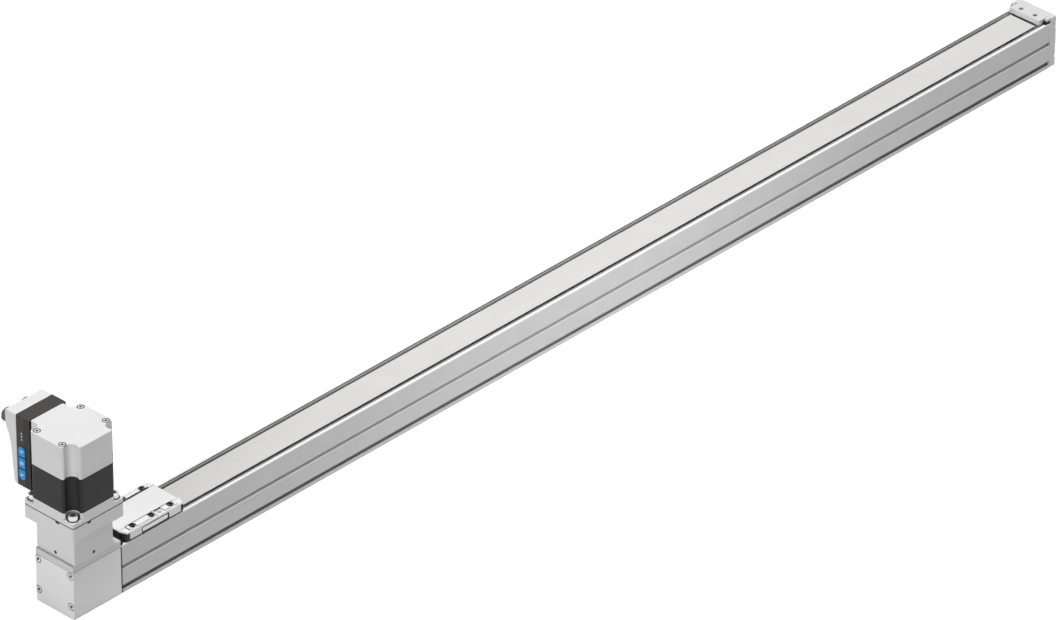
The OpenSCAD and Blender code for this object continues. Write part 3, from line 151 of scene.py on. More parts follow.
# colour, metallic, roughness from and to, grain scale and stretch, bump depth in metres, colour drift
finishes = {
    "extrudedAluminium": dict(colour=(0.66, 0.66, 0.66), metallic=0.1, rough=(0.36, 0.46),
                              scale=1.0, stretch=(6, 900, 900), bump=0.000012, drift=0.96),
    "blastedAluminium": dict(colour=(0.78, 0.78, 0.78), metallic=0.1, rough=(0.42, 0.54),
                             scale=2600.0, stretch=(1, 1, 1), bump=0.00001, drift=0.97),
    "brightBlock": dict(colour=(0.90, 0.90, 0.90), metallic=0.1, rough=(0.42, 0.54),
                        scale=2600.0, stretch=(1, 1, 1), bump=0.00001, drift=0.98),
    "shadedLedge": dict(colour=(0.30, 0.30, 0.30), metallic=0.1, rough=(0.5, 0.6),
                        scale=1.0, stretch=(40, 1400, 1400), bump=0.000006, drift=0.97),
    "milledAluminium": dict(colour=(0.68, 0.68, 0.68), metallic=0.1, rough=(0.34, 0.44),
                            scale=1.0, stretch=(40, 1400, 1400), bump=0.000006, drift=0.97),
    "castShell": dict(colour=(0.78, 0.78, 0.78), metallic=0.1, rough=(0.42, 0.55),
                      scale=1800.0, stretch=(1, 1, 1), bump=0.000014, drift=0.97),
    "blackLaminate": dict(colour=(0.025, 0.025, 0.026), metallic=0.0, shine=0.2, rough=(0.45, 0.58),
                          scale=1.0, stretch=(60, 60, 2600), bump=0.00003, drift=0.9),
    "darkPlastic": dict(colour=(0.044, 0.037, 0.033), metallic=0.0, shine=0.25, rough=(0.5, 0.62),
                        scale=2400.0, stretch=(1, 1, 1), bump=0.00002, drift=0.95),
    "bluePad": dict(colour=(0.022, 0.35, 0.84), metallic=0.0, shine=0.25, rough=(0.38, 0.46),
                    scale=1500.0, stretch=(1, 1, 1), bump=0.000008, drift=0.97),
    "clearLens": dict(colour=(0.62, 0.64, 0.62), metallic=0.0, rough=(0.12, 0.2),
                      scale=900.0, stretch=(1, 1, 1), bump=0.000004, drift=0.96),
    "stripSteel": dict(colour=(0.68, 0.675, 0.66), metallic=0.15, rough=(0.26, 0.38),
                       scale=1.0, stretch=(3, 1500, 60), bump=0.000006, drift=0.97),
    "groundSteel": dict(colour=(0.52, 0.53, 0.54), metallic=0.9, rough=(0.22, 0.34),
                        scale=1.0, stretch=(20, 900, 900), bump=0.000004, drift=0.95),
    "platedScrew": dict(colour=(0.72, 0.72, 0.72), metallic=0.8, rough=(0.25, 0.36),
                        scale=1400.0, stretch=(1, 1, 1), bump=0.000006, drift=0.94),
    "blackScrew": dict(colour=(0.02, 0.02, 0.022), metallic=0.2, shine=0.3, rough=(0.35, 0.5),
                       scale=1400.0, stretch=(1, 1, 1), bump=0.000008, drift=0.85),
    "darkNickel": dict(colour=(0.132, 0.135, 0.138), metallic=0.8, rough=(0.3, 0.42),
                       scale=1200.0, stretch=(1, 1, 1), bump=0.000006, drift=0.92),
    "toothedRubber": dict(colour=(0.012, 0.012, 0.013), metallic=0.0, shine=0.2, rough=(0.7, 0.85),
                          scale=1200.0, stretch=(1, 1, 1), bump=0.00003, drift=0.9),
    "greenBoard": dict(colour=(0.02, 0.14, 0.06), metallic=0.0, rough=(0.35, 0.45),
                       scale=1200.0, stretch=(1, 1, 1), bump=0.00001, drift=0.9),
    "redRubber": dict(colour=(0.5, 0.035, 0.025), metallic=0.0, rough=(0.55, 0.7),
                      scale=1200.0, stretch=(1, 1, 1), bump=0.00002, drift=0.9),
    "greenSeal": dict(colour=(0.035, 0.19, 0.09), metallic=0.0, rough=(0.4, 0.5),
                      scale=1200.0, stretch=(1, 1, 1), bump=0.00001, drift=0.9),
    "whiteInk": dict(colour=(0.82, 0.84, 0.86), metallic=0.0, rough=(0.5, 0.6),
                     scale=1500.0, stretch=(1, 1, 1), bump=0.000004, drift=0.95),
    # black that paints the shade in gaps, seams, holes and hollows
    "shadeBlack": dict(colour=(0.012, 0.012, 0.013), metallic=0.0, rough=(0.7, 0.8),
                    scale=900.0, stretch=(1, 1, 1), bump=0.000004, drift=0.9),
}


def makeMaterial(name, finish):
    material = bpy.data.materials.new(name)
    material.use_nodes = True
    tree = material.node_tree
    shader = tree.nodes["Principled BSDF"]
    shader.inputs["Metallic"].default_value = finish["metallic"]
    tone = tree.nodes.new("ShaderNodeGroup")
    tone.node_tree = toneGroup
    tone.inputs["Stretch"].default_value = (1, 1, 1)
    tone.inputs["Colour"].default_value = (*finish["colour"], 1)
    tone.inputs["Deep"].default_value = (*[c * finish["drift"] for c in finish["colour"]], 1)
    grain = tree.nodes.new("ShaderNodeGroup")
    grain.node_tree = grainGroup
    grain.inputs["Stretch"].default_value = finish["stretch"]
    grain.inputs["Scale"].default_value = finish["scale"]
    grain.inputs["Low"].default_value = finish["rough"][0]
    grain.inputs["High"].default_value = finish["rough"][1]
    bump = tree.nodes.new("ShaderNodeBump")
    bump.inputs["Distance"].default_value = finish["bump"]
    bump.inputs["Strength"].default_value = 1.0
    crease = tree.nodes.new("ShaderNodeGroup")
    crease.node_tree = creaseGroup
    crease.inputs["Reach"].default_value = creases["reach"]
    crease.inputs["Depth"].default_value = creases["depth"]
    shader.inputs["Specular IOR Level"].default_value = finish.get("shine", 0.5)
    tree.links.new(tone.outputs["Colour"], crease.inputs["Colour"])
    tree.links.new(crease.outputs["Colour"], shader.inputs["Base Color"])
    tree.links.new(grain.outputs["Roughness"], shader.inputs["Roughness"])
    tree.links.new(grain.outputs["Height"], bump.inputs["Height"])
    tree.links.new(bump.outputs["Normal"], shader.inputs["Normal"])
    return material


materials = {name: makeMaterial(name, finish) for name, finish in finishes.items()}

finishOfSlot = {
    "anodised_profile": "extrudedAluminium", "housing_aluminium": "blastedAluminium",
    "motor_shell": "castShell", "stator_black": "blackLaminate", "pod_dark": "darkPlastic",
    "button_blue": "bluePad", "lens_clear": "clearLens", "strip_steel": "stripSteel",
    "steel": "groundSteel", "bright_screw": "platedScrew", "black_screw": "blackScrew",
    "connector_nickel": "darkNickel", "belt_rubber": "toothedRubber",
    "buffer_rubber": "toothedRubber", "board_green": "greenBoard",
    "spider_red": "redRubber", "seal_green": "greenSeal",
}
print("materials made:", len(materials))


# dressed copies of the solids
def addPiece(name, mesh, body, material):
    piece = bpy.data.objects.new(name, mesh)
    bpy.context.scene.collection.objects.link(piece)
    mesh.materials.clear()
    mesh.materials.append(material)
    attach(piece, body)
    return piece


# degrees: edges sharper than these stay sharp or are rounded, and flatter ones are dissolved
edgeAngles = {"sharp": 30, "bevel": 35, "turned": 35, "flat": 0.4}


def softenEdges(piece, width, segments=2):
    piece.data.shade_smooth()
    piece.data.set_sharp_from_angle(angle=math.radians(edgeAngles["sharp"]))
    edge = piece.modifiers.new("softEdges", "BEVEL")
    edge.width = width
    edge.segments = segments
    edge.limit_method = "ANGLE"
    edge.angle_limit = math.radians(edgeAngles["bevel"])
    edge.harden_normals = True
    edge.miter_outer = "MITER_ARC"
    flats = piece.modifiers.new("flatFaces", "WEIGHTED_NORMAL")
    flats.keep_sharp = True
    flats.weight = 100


# solids whose flat faces have rings of holes near their edges keep their triangles
keptFacets = {"rear_cover", "rear_cover_screws", "drive_housing"}

# end screws whose heads stand a little past the profile's sides are trimmed back
trimmedHeads = {"nodes": ("housing_screws", "end_cap_screws"), "inset": 0.26}


def trimSides(verts):
    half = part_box("profile")[1].y - trimmedHeads["inset"] * mm
    for vert in verts:
        vert.co.y = max(-half, min(half, vert.co.y))


def dressNode(nodeName, width, finish=None):
    mesh = nodes[nodeName].data.copy()
    bm = bmesh.new()
    bm.from_mesh(mesh)
    bmesh.ops.remove_doubles(bm, verts=bm.verts, dist=weldDistance)
    if nodeName not in keptFacets:
        bmesh.ops.dissolve_limit(bm, angle_limit=math.radians(edgeAngles["flat"]),
                                 verts=bm.verts, edges=bm.edges)
    if nodeName in trimmedHeads["nodes"]:
        trimSides(bm.verts)
    bm.to_mesh(mesh)
    bm.free()
    slot = slotOfNode[nodeName]
    piece = addPiece(nodeName + ".dressed", mesh, bodyOfNode[nodeName],
                     materials[finish or finishOfSlot[slot]])
    softenEdges(piece, width)
    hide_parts(nodeName)
    return piece


# edge radii in millimetres of the pieces that show
edgeRadii = {
    "profile": 0.2, "drive_housing": 0.18, "top_plate": 0.3, "coupling_housing": 0.35,
    "motor_bell": 0.3, "motor_stator": 0.2, "rear_cover": 0.4, "pod_base": 0.4, "pod_cover": 0.5,
    "end_cap": 0.4, "strip_clamp": 0.25, "carriage_body": 0.2, "strip_cover": 0.25,
    "button_top": 0.3, "button_middle": 0.3, "button_bottom": 0.3, "trip_plates": 0.15,
    "connectors": 0.15, "motor_screws": 0.3, "housing_screws": 0.2, "end_cap_screws": 0.2,
    "rear_cover_screws": 0.1, "drive_end_buffers": 0.2, "far_end_buffers": 0.3,
    "strip_clamp_screws": 0.15, "strip_wipers": 0.25, "trip_plate_screws": 0.1,
}
# pieces with a finish of their own
finishOfNode = {
    "trip_plate_screws": "platedScrew", "strip_wipers": "darkPlastic",
    "drive_housing": "brightBlock", "carriage_body": "brightBlock", "strip_cover": "brightBlock",
    "strip_clamp": "milledAluminium", "end_cap": "milledAluminium", "top_plate": "milledAluminium",
}
for nodeName, radius in edgeRadii.items():
    dressNode(nodeName, radius * mm, finishOfNode.get(nodeName))
for nodeName, node in nodes.items():
    if nodeName not in edgeRadii:
        node.data.materials.clear()
        node.data.materials.append(materials[finishOfSlot[slotOfNode[nodeName]]])
print("solids dressed:", len(edgeRadii))


# pieces that repeat, made with Geometry Nodes
def newTree(name, inputs):
    tree = bpy.data.node_groups.new(name, "GeometryNodeTree")
    keys = {}
    for label, kind, value in inputs:
        socket = tree.interface.new_socket(name=label, in_out="INPUT", socket_type=kind)
        if value is not None:
            socket.default_value = value
        keys[label] = socket.identifier
    tree.interface.new_socket(name="Geometry", in_out="OUTPUT", socket_type="NodeSocketGeometry")
    return tree, tree.nodes.new("NodeGroupInput"), tree.nodes.new("NodeGroupOutput"), keys


def closeTree(tree, source, sink, geometry):
    realize = tree.nodes.new("GeometryNodeRealizeInstances")
    paint = tree.nodes.new("GeometryNodeSetMaterial")
    tree.links.new(geometry, realize.inputs["Geometry"])
    tree.links.new(realize.outputs["Geometry"], paint.inputs["Geometry"])
    tree.links.new(source.outputs["Material"], paint.inputs["Material"])
    tree.links.new(paint.outputs["Geometry"], sink.inputs["Geometry"])


def bakeTree(name, tree, keys, values, place, body, material):
    # runs the tree on an empty mesh, moves the result into place and lets it ride
    carrier = bpy.data.objects.new(name + ".carrier", bpy.data.meshes.new(name))
    bpy.context.scene.collection.objects.link(carrier)
    modifier = carrier.modifiers.new("tree", "NODES")
    modifier.node_group = tree
    for label, value in values.items():
        modifier[keys[label]] = value
    modifier[keys["Material"]] = material
    bpy.context.view_layer.update()
    mesh = bpy.data.meshes.new_from_object(carrier.evaluated_get(bpy.context.evaluated_depsgraph_get()))
    mesh.name = name
    bpy.data.objects.remove(carrier)
    mesh.transform(place)
    return addPiece(name, mesh, body, material)


def ringOfRibsTree():
    # ribs round the Z axis, as on a knurled nut
    tree, source, sink, keys = newTree("ringOfRibs", [
        ("Count", "NodeSocketInt", 24), ("Radius", "NodeSocketFloat", 0.006),
        ("Rib Size", "NodeSocketVector", (0.0008, 0.0008, 0.004)), ("Material", "NodeSocketMaterial", None)])
    ring = tree.nodes.new("GeometryNodeMeshCircle")
    rib = tree.nodes.new("GeometryNodeMeshCube")
    spread = tree.nodes.new("GeometryNodeInstanceOnPoints")
    place = tree.nodes.new("GeometryNodeInputPosition")
    aim = tree.nodes.new("FunctionNodeAlignRotationToVector")
    aim.axis = "X"
    tree.links.new(source.outputs["Count"], ring.inputs["Vertices"])
    tree.links.new(source.outputs["Radius"], ring.inputs["Radius"])
    tree.links.new(source.outputs["Rib Size"], rib.inputs["Size"])
    tree.links.new(place.outputs["Position"], aim.inputs["Vector"])
    tree.links.new(ring.outputs["Mesh"], spread.inputs["Points"])
    tree.links.new(rib.outputs["Mesh"], spread.inputs["Instance"])
    tree.links.new(aim.outputs["Rotation"], spread.inputs["Rotation"])
    closeTree(tree, source, sink, spread.outputs["Instances"])
    return tree, keys


def toothRowTree():
    # belt teeth in a row along X
    tree, source, sink, keys = newTree("toothRow", [
        ("Count", "NodeSocketInt", 100), ("Pitch", "NodeSocketFloat", 0.003),
        ("Tooth Radius", "NodeSocketFloat", 0.0008), ("Width", "NodeSocketFloat", 0.01),
        ("Material", "NodeSocketMaterial", None)])
    row = tree.nodes.new("GeometryNodeMeshLine")
    step = tree.nodes.new("ShaderNodeCombineXYZ")
    tooth = tree.nodes.new("GeometryNodeMeshCylinder")
    tooth.inputs["Vertices"].default_value = 10
    spread = tree.nodes.new("GeometryNodeInstanceOnPoints")
    tree.links.new(source.outputs["Count"], row.inputs["Count"])
    tree.links.new(source.outputs["Pitch"], step.inputs["X"])
    tree.links.new(step.outputs["Vector"], row.inputs["Offset"])
    tree.links.new(source.outputs["Tooth Radius"], tooth.inputs["Radius"])
    tree.links.new(source.outputs["Width"], tooth.inputs["Depth"])
    tree.links.new(row.outputs["Mesh"], spread.inputs["Points"])
    tree.links.new(tooth.outputs["Mesh"], spread.inputs["Instance"])
    closeTree(tree, source, sink, spread.outputs["Instances"])
    return tree, keys


def threadCoilTree():
    # one thread as a coil with a round bead, standing on Z
    tree, source, sink, keys = newTree("threadCoil", [
        ("Turns", "NodeSocketFloat", 6.0), ("Radius", "NodeSocketFloat", 0.002),
        ("Height", "NodeSocketFloat", 0.005), ("Bead", "NodeSocketFloat", 0.0002),
        ("Material", "NodeSocketMaterial", None)])
    coil = tree.nodes.new("GeometryNodeCurveSpiral")
    coil.inputs["Resolution"].default_value = 20
    bead = tree.nodes.new("GeometryNodeCurvePrimitiveCircle")
    bead.inputs["Resolution"].default_value = 5
    sweep = tree.nodes.new("GeometryNodeCurveToMesh")
    sweep.inputs["Fill Caps"].default_value = True
    tree.links.new(source.outputs["Turns"], coil.inputs["Rotations"])
    tree.links.new(source.outputs["Radius"], coil.inputs["Start Radius"])
    tree.links.new(source.outputs["Radius"], coil.inputs["End Radius"])
    tree.links.new(source.outputs["Height"], coil.inputs["Height"])
    tree.links.new(source.outputs["Bead"], bead.inputs["Radius"])
    tree.links.new(coil.outputs["Curve"], sweep.inputs["Curve"])
    tree.links.new(bead.outputs["Curve"], sweep.inputs["Profile Curve"])
    closeTree(tree, source, sink, sweep.outputs["Mesh"])
    return tree, keys


def nodeCentre(nodeName):
    low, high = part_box(nodeName)
    return (low + high) / 2


connectorRibs = {"count": 28, "radius": 6.05, "size": (0.7, 0.5, 3.6), "fromFace": 4.0}
low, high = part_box("connectors")
nutRadius = (high.z - low.z) / 2
ribTree, ribKeys = ringOfRibsTree()
for name, x in (("supplyNutKnurl", low.x + nutRadius), ("signalNutKnurl", high.x - nutRadius)):
    place = Matrix.Translation((x, high.y - connectorRibs["fromFace"] * mm, (low.z + high.z) / 2))
    bakeTree(name, ribTree, ribKeys, {
        "Count": connectorRibs["count"], "Radius": connectorRibs["radius"] * mm,
        "Rib Size": [v * mm for v in connectorRibs["size"]]},
        place @ Matrix.Rotation(math.radians(90), 4, "X"), "axis_frame",
        materials["darkNickel"])

beltTeeth = {"pitch": 3.0, "toothRadius": 0.8, "width": 9.8, "inset": 1.2}
drive, idler = nodeCentre("drive_pulley"), nodeCentre("idler_pulley")
low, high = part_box("belt")
strandY = (high.y - low.y) / 2 - beltTeeth["inset"] * mm
toothTree, toothKeys = toothRowTree()
count = round((idler.x - drive.x) / (beltTeeth["pitch"] * mm)) - 1
for name, side in (("beltTeethLeft", 1), ("beltTeethRight", -1)):
    place = Matrix.Translation((drive.x + beltTeeth["pitch"] * mm, side * strandY, drive.z))
    bakeTree(name, toothTree, toothKeys, {
        "Count": count, "Pitch": beltTeeth["pitch"] * mm, "Tooth Radius": beltTeeth["toothRadius"] * mm,
        "Width": beltTeeth["width"] * mm}, place, "axis_frame", materials["toothedRubber"])

carriageThreads = {
    "pitchX": 22.0, "pitchY": 35.0, "turns": 6.0, "height": 4.8, "radius": 2.08, "bead": 0.22, "foot": 6.1,
}
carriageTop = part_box("carriage_body")[1].z
middle = nodeCentre("carriage_body")
coilTree, coilKeys = threadCoilTree()
for index in range(6):
    column, row = index % 3 - 1, index // 3 * 2 - 1
    place = Matrix.Translation((middle.x + column * carriageThreads["pitchX"] * mm,
                                row * carriageThreads["pitchY"] / 2 * mm,
                                carriageTop - carriageThreads["foot"] * mm))
    bakeTree("carriageThread%d" % (index + 1), coilTree, coilKeys, {
        "Turns": carriageThreads["turns"], "Radius": carriageThreads["radius"] * mm,
        "Height": carriageThreads["height"] * mm, "Bead": carriageThreads["bead"] * mm},
        place, "carriage", materials["milledAluminium"])
print("repeated pieces made")


# small pieces
def closeMesh(bm, name, place):
    # turns the faces outwards, makes the mesh and moves it into place
    bmesh.ops.recalc_face_normals(bm, faces=bm.faces)
    mesh = bpy.data.meshes.new(name)
    bm.to_mesh(mesh)
    bm.free()
    mesh.transform(place)
    return mesh


def circle(radius, steps=32):
    angles = (2 * math.pi * k / steps for k in range(steps))
    return [(radius * math.cos(a), radius * math.sin(a)) for a in angles]


def outlineToMesh(name, outline, thickness, place):
    # a flat shape in the XY plane, given a thickness along Z and then placed
    bm = bmesh.new()
    bottom = [bm.verts.new((x, y, 0)) for x, y in outline]
    top = [bm.verts.new((x, y, thickness)) for x, y in outline]
    bm.faces.new(list(reversed(bottom)))
    bm.faces.new(top)
    for i in range(len(outline)):
        k = (i + 1) % len(outline)
        bm.faces.new((bottom[i], bottom[k], top[k], top[i]))
    return closeMesh(bm, name, place)


def turnedMesh(name, outline, place, steps=40):
    # (radius, height) points turned round the Z axis
    bm = bmesh.new()
    rings = []
    for radius, z in outline:
        ring = circle(radius, steps) if radius else [(0, 0)]
        rings.append([bm.verts.new((x, y, z)) for x, y in ring])
    for a, b in zip(rings, rings[1:]):
        for k in range(steps):
            n = (k + 1) % steps
            corners = [a[k % len(a)], a[n % len(a)], b[n % len(b)], b[k % len(b)]]
            bm.faces.new(list(dict.fromkeys(corners)))
    mesh = closeMesh(bm, name, place)
    mesh.shade_smooth()
    mesh.set_sharp_from_angle(angle=math.radians(edgeAngles["turned"]))
    return mesh


def bandMesh(name, outline, inner, thickness, place):
    # a closed frame between two outlines with the same number of points
    bm = bmesh.new()
    loops = [[bm.verts.new((x, y, z)) for x, y in shape] for shape, z in
             ((outline, 0), (outline, thickness), (inner, thickness), (inner, 0))]
    for a, b in zip(loops, loops[1:] + loops[:1]):
        for i in range(len(outline)):
            k = (i + 1) % len(outline)
            bm.faces.new((a[i], a[k], b[k], b[i]))
    return closeMesh(bm, name, place)


def roundedRectangle(width, height, radius, steps=6):
    points = []
    for cx, cy, start in ((1, 1, 0), (-1, 1, 90), (-1, -1, 180), (1, -1, 270)):
        for i in range(steps + 1):
            a = math.radians(start + 90 * i / steps)
            points.append((cx * (width / 2 - radius) + radius * math.cos(a),
                           cy * (height / 2 - radius) + radius * math.sin(a)))
    return points


def rectangle(x0, y0, x1, y1):
    return [(x0, y0), (x1, y0), (x1, y1), (x0, y1)]


def inMillimetres(point, turn=Matrix.Identity(4)):
    # takes a shape drawn in millimetres to a point given in metres
    return Matrix.Translation(point) @ turn @ Matrix.Scale(mm, 4)


def frameMesh(name, size, values, place):
    # a rounded frame that reaches a little past a rectangle, with its wall inwards
    outerCorner, innerCorner = values["corners"]
    outer = roundedRectangle(*(side + 2 * grow for side, grow in zip(size, values["grow"])), outerCorner)
    inner = roundedRectangle(*(side - values["wall"] for side in size), innerCorner)
    return bandMesh(name, outer, inner, values["height"], place)


# adds a piece in the black that paints shade
def addDark(name, mesh, body="axis_frame"):
    return addPiece(name, mesh, body, materials["shadeBlack"])


def blockPiece(name, alongX, alongY, alongZ, body="axis_frame", finish="shadeBlack"):
    # a straight block between two places along each axis, in metres and in either order
    (x0, x1), (y0, y1), (z0, z1) = (sorted(pair) for pair in (alongX, alongY, alongZ))
    mesh = outlineToMesh(name, rectangle(x0, y0, x1, y1), z1 - z0, Matrix.Translation((0, 0, z0)))
    return addPiece(name, mesh, body, materials[finish])


# painted shade: thin dark frames in the seams where the housings meet
seamShades = {
    "flange": {"height": 0.9, "grow": (0.03, 0.03), "wall": 4.0, "corners": (2.5, 1.5)},
    "head": {"height": 1.0, "grow": (0.03, 0), "wall": 4.0, "corners": (0.8, 0.6), "back": 0.2},
    "plate": {"height": 0.3, "grow": (0.04, 0.04), "wall": 3.0, "corners": (0.8, 0.6)},
}
low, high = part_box("motor_bell")
collarLow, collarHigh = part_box("coupling_housing")
width = (high.x - low.x) / mm
place = inMillimetres(((low.x + high.x) / 2, 0, collarHigh.z - seamShades["flange"]["height"] / 2 * mm))
addDark("flangeSeamShade", frameMesh("flangeSeamShade", (width, width), seamShades["flange"], place))

low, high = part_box("drive_housing")
faceForward = Matrix(((0, 0, 1, 0), (1, 0, 0, 0), (0, 1, 0, 0), (0, 0, 0, 1)))
place = inMillimetres((high.x - seamShades["head"]["back"] * mm, 0, (low.z + high.z) / 2), faceForward)
size = ((high.y - low.y) / mm, (high.z - low.z) / mm)
addDark("headSeamShade", frameMesh("headSeamShade", size, seamShades["head"], place))

plateLow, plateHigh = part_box("top_plate")
place = inMillimetres(((plateLow.x + plateHigh.x) / 2, 0, plateLow.z - seamShades["plate"]["height"] / 2 * mm))
size = ((plateHigh.x - plateLow.x) / mm, (plateHigh.y - plateLow.y) / mm)
addDark("plateSeamShade", frameMesh("plateSeamShade", size, seamShades["plate"], place))

# painted shade: a dark strip where the pod meets the motor
podShade = {"width": 7.0, "inset": 0.4, "thickness": 0.16, "corner": 0.1}
low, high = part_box("pod_base")
faceBack = Matrix(((0, 0, -1, 0), (1, 0, 0, 0), (0, 1, 0, 0), (0, 0, 0, 1)))
outline = rectangle(0, 0, podShade["width"], (high.z - low.z) / mm - 2 * podShade["inset"])
place = inMillimetres((low.x + podShade["corner"] * mm, low.y + podShade["corner"] * mm,
                       low.z + podShade["inset"] * mm), faceBack)
addDark("podShade", outlineToMesh("podShade", outline, podShade["thickness"], place))


def solidBoxes(nodeName):
    # the low and high corners of each solid in a node, in a fixed order
    bm = bmesh.new()
    bm.from_mesh(nodes[nodeName].data)
    bmesh.ops.remove_doubles(bm, verts=bm.verts, dist=weldDistance)
    left = set(bm.verts)
    boxes = []
    while left:
        reach, group = [left.pop()], []
        while reach:
            vert = reach.pop()
            group.append(vert.co.copy())
            for edge in vert.link_edges:
                other = edge.other_vert(vert)
                if other in left:
                    left.remove(other)
                    reach.append(other)
        boxes.append([Vector([pick(co[i] for co in group) for i in range(3)]) for pick in (min, max)])
    bm.free()
    return sorted(boxes, key=lambda box: [round(value, 6) for value in box[0]])


# painted shade: dark rings round the screw heads, where their recesses lie in shade, and dark discs over the
# shaded sockets
# node: (way the heads face, head radius, width of the shaded ring, socket radius)
screwShades = {
    "housing_screws": ("-x", 2.95, 0.7, 1.7), "rear_cover_screws": ("+z", 2.6, 0.8, 1.35),
    "motor_screws": ("+z", None, 0, 2.3), "end_cap_screws": ("+x", 2.95, 0.6, 1.7),
    "strip_clamp_screws": ("+z", 2.1, 0.4, 1.5),
}
headRingShade = {"overlap": 0.05, "thickness": 0.14, "sunk": 0.08}
socketShade = {"sides": 6, "thickness": 0.05, "lift": 0.01}
headWays = {
    "+z": (Vector((0, 0, 1)), Matrix.Identity(4)),
    "-x": (Vector((-1, 0, 0)), Matrix.Rotation(math.radians(-90), 4, "Y")),
    "+x": (Vector((1, 0, 0)), Matrix.Rotation(math.radians(90), 4, "Y")),
}
for nodeName, (way, headRadius, ringShadeWidth, socketRadius) in screwShades.items():
    outward, turn = headWays[way]
    for number, (low, high) in enumerate(solidBoxes(nodeName)):
        face = (low + high) / 2 + outward * abs(outward.dot(high - low)) / 2
        if headRadius:
            name = "%sJoint%d" % (nodeName, number + 1)
            place = inMillimetres(face - outward * headRingShade["sunk"] * mm, turn)
            mesh = bandMesh(name, circle(headRadius + ringShadeWidth), circle(headRadius - headRingShade["overlap"]),
                            headRingShade["thickness"], place)
            if nodeName in trimmedHeads["nodes"]:
                trimSides(mesh.vertices)
            addDark(name, mesh, bodyOfNode[nodeName])
        name = "%sSocket%d" % (nodeName, number + 1)
        place = inMillimetres(face + outward * socketShade["lift"] * mm, turn)
        mesh = outlineToMesh(name, circle(socketRadius, socketShade["sides"]), socketShade["thickness"], place)
        addDark(name, mesh, bodyOfNode[nodeName])

# thin walls that close the end screws' recesses towards the sides
recessWall = {"length": 4.4, "half": 2.4, "thickness": 0.25, "proud": 0.01}
profileLow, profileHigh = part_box("profile")
for nodeName, finish, inward in (("housing_screws", "brightBlock", 1),
                                 ("end_cap_screws", "milledAluminium", -1)):
    for number, (low, high) in enumerate(solidBoxes(nodeName)):
        middle = (low + high) / 2
        face = low.x if inward > 0 else high.x
        side = 1 if middle.y > 0 else -1
        blockPiece("%sWall%d" % (nodeName, number + 1), (face, face + inward * recessWall["length"] * mm),
                   (side * (profileHigh.y - recessWall["thickness"] * mm),
                    side * (profileHigh.y + recessWall["proud"] * mm)),
                   (middle.z - recessWall["half"] * mm, middle.z + recessWall["half"] * mm),
                   finish=finish)

# painted shade: dark rings in the wells round the heads of the motor's screws
wellShade = {"inner": 4.1, "outer": 5.1, "thickness": 0.1, "flange": 4.5, "sunk": 0.06}
for number, (low, high) in enumerate(solidBoxes("motor_screws")):
    name = "motorWellShade%d" % (number + 1)
    middle = (low + high) / 2
    place = inMillimetres((middle.x, middle.y, collarHigh.z + (wellShade["flange"] - wellShade["sunk"]) * mm))
    addDark(name, bandMesh(name, circle(wellShade["outer"]), circle(wellShade["inner"]), wellShade["thickness"], place))

# painted shade: dark mouths of the prying notches, drawn on the collar's front face and turned about the
# shaft
notch = {"place": 10.8, "width": 4.1, "height": 2.3, "recess": 0.12, "under": 1.3, "thickness": 0.05}
outline = rectangle(-notch["width"] / 2, -notch["height"] / 2, notch["width"] / 2, notch["height"] / 2)
shaftX = (collarLow.x + collarHigh.x) / 2
shaft = Matrix.Translation((shaftX, 0, collarHigh.z))
faceY = notch["recess"] - (collarHigh.y - collarLow.y) / 2 / mm
for number, (turn, side) in enumerate(((0, -1), (270, 1), (180, -1), (90, 1))):
    name = "pryNotchShade%d" % (number + 1)
    spot = Matrix.Translation(Vector((side * notch["place"], faceY, -notch["under"])) * mm)
    place = (shaft @ Matrix.Rotation(math.radians(turn), 4, "Z") @ spot
             @ Matrix.Rotation(math.radians(90), 4, "X") @ Matrix.Scale(mm, 4))
    addDark(name, outlineToMesh(name, outline, notch["thickness"], place))

# painted shade: dark discs inside the coupling housing's access bores
boreShade = {"radius": 1.55, "depth": 0.3, "rise": 4.4, "thickness": 0.2, "neckHalf": 22.5}
boreShadeZ = plateHigh.z + boreShade["rise"] * mm
sink = Matrix.Translation((0, 0, -boreShade["depth"] * mm))
for name, x, y, degrees, axis in (("accessBoreShadeFront", shaftX - boreShade["neckHalf"] * mm, 0, -90, "Y"),
                                  ("accessBoreShadeSide", shaftX, -boreShade["neckHalf"] * mm, 90, "X")):
    place = inMillimetres((x, y, boreShadeZ), Matrix.Rotation(math.radians(degrees), 4, axis) @ sink)
    addDark(name, outlineToMesh(name, circle(boreShade["radius"]), boreShade["thickness"], place))

# painted shade on the carriage: dark strips in the gaps along the cover, at the pads' ends and under both
# sides
carriageShades = {
    "padHalf": 27.5, "padEdge": 20.5, "width": 0.75, "depth": 1.0, "rise": 0.03, "endWidth": 0.45,
    "skirtHalf": 29.0, "skirtIn": 21.4, "skirtOut": 22.3, "skirtDrop": 0.3,
}
coverLow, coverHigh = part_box("strip_cover")
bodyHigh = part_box("carriage_body")[1]
tripLow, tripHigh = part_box("trip_plates")
middleX = (coverLow.x + coverHigh.x) / 2
shadeSize = {key: size * mm for key, size in carriageShades.items()}
for side in (-1, 1):
    blockPiece("coverGapShade%d" % side, (middleX - shadeSize["padHalf"], middleX + shadeSize["padHalf"]),
               (side * coverHigh.y, side * (coverHigh.y + shadeSize["width"])),
               (coverHigh.z - shadeSize["depth"], bodyHigh.z + shadeSize["rise"]), "carriage")
    for end in (-1, 1):
        blockPiece("padEndShade%d%d" % (side, end),
                   (middleX + end * shadeSize["padHalf"], middleX + end * (shadeSize["padHalf"] + shadeSize["endWidth"])),
                   (side * coverHigh.y, side * shadeSize["padEdge"]),
                   (coverHigh.z - shadeSize["depth"], coverHigh.z + shadeSize["rise"]), "carriage")
    blockPiece("skirtGapShade%d" % side, (middleX - shadeSize["skirtHalf"], middleX + shadeSize["skirtHalf"]),
               (side * shadeSize["skirtIn"], side * shadeSize["skirtOut"]),
               (tripLow.z - shadeSize["skirtDrop"], tripLow.z + shadeSize["rise"]), "carriage")
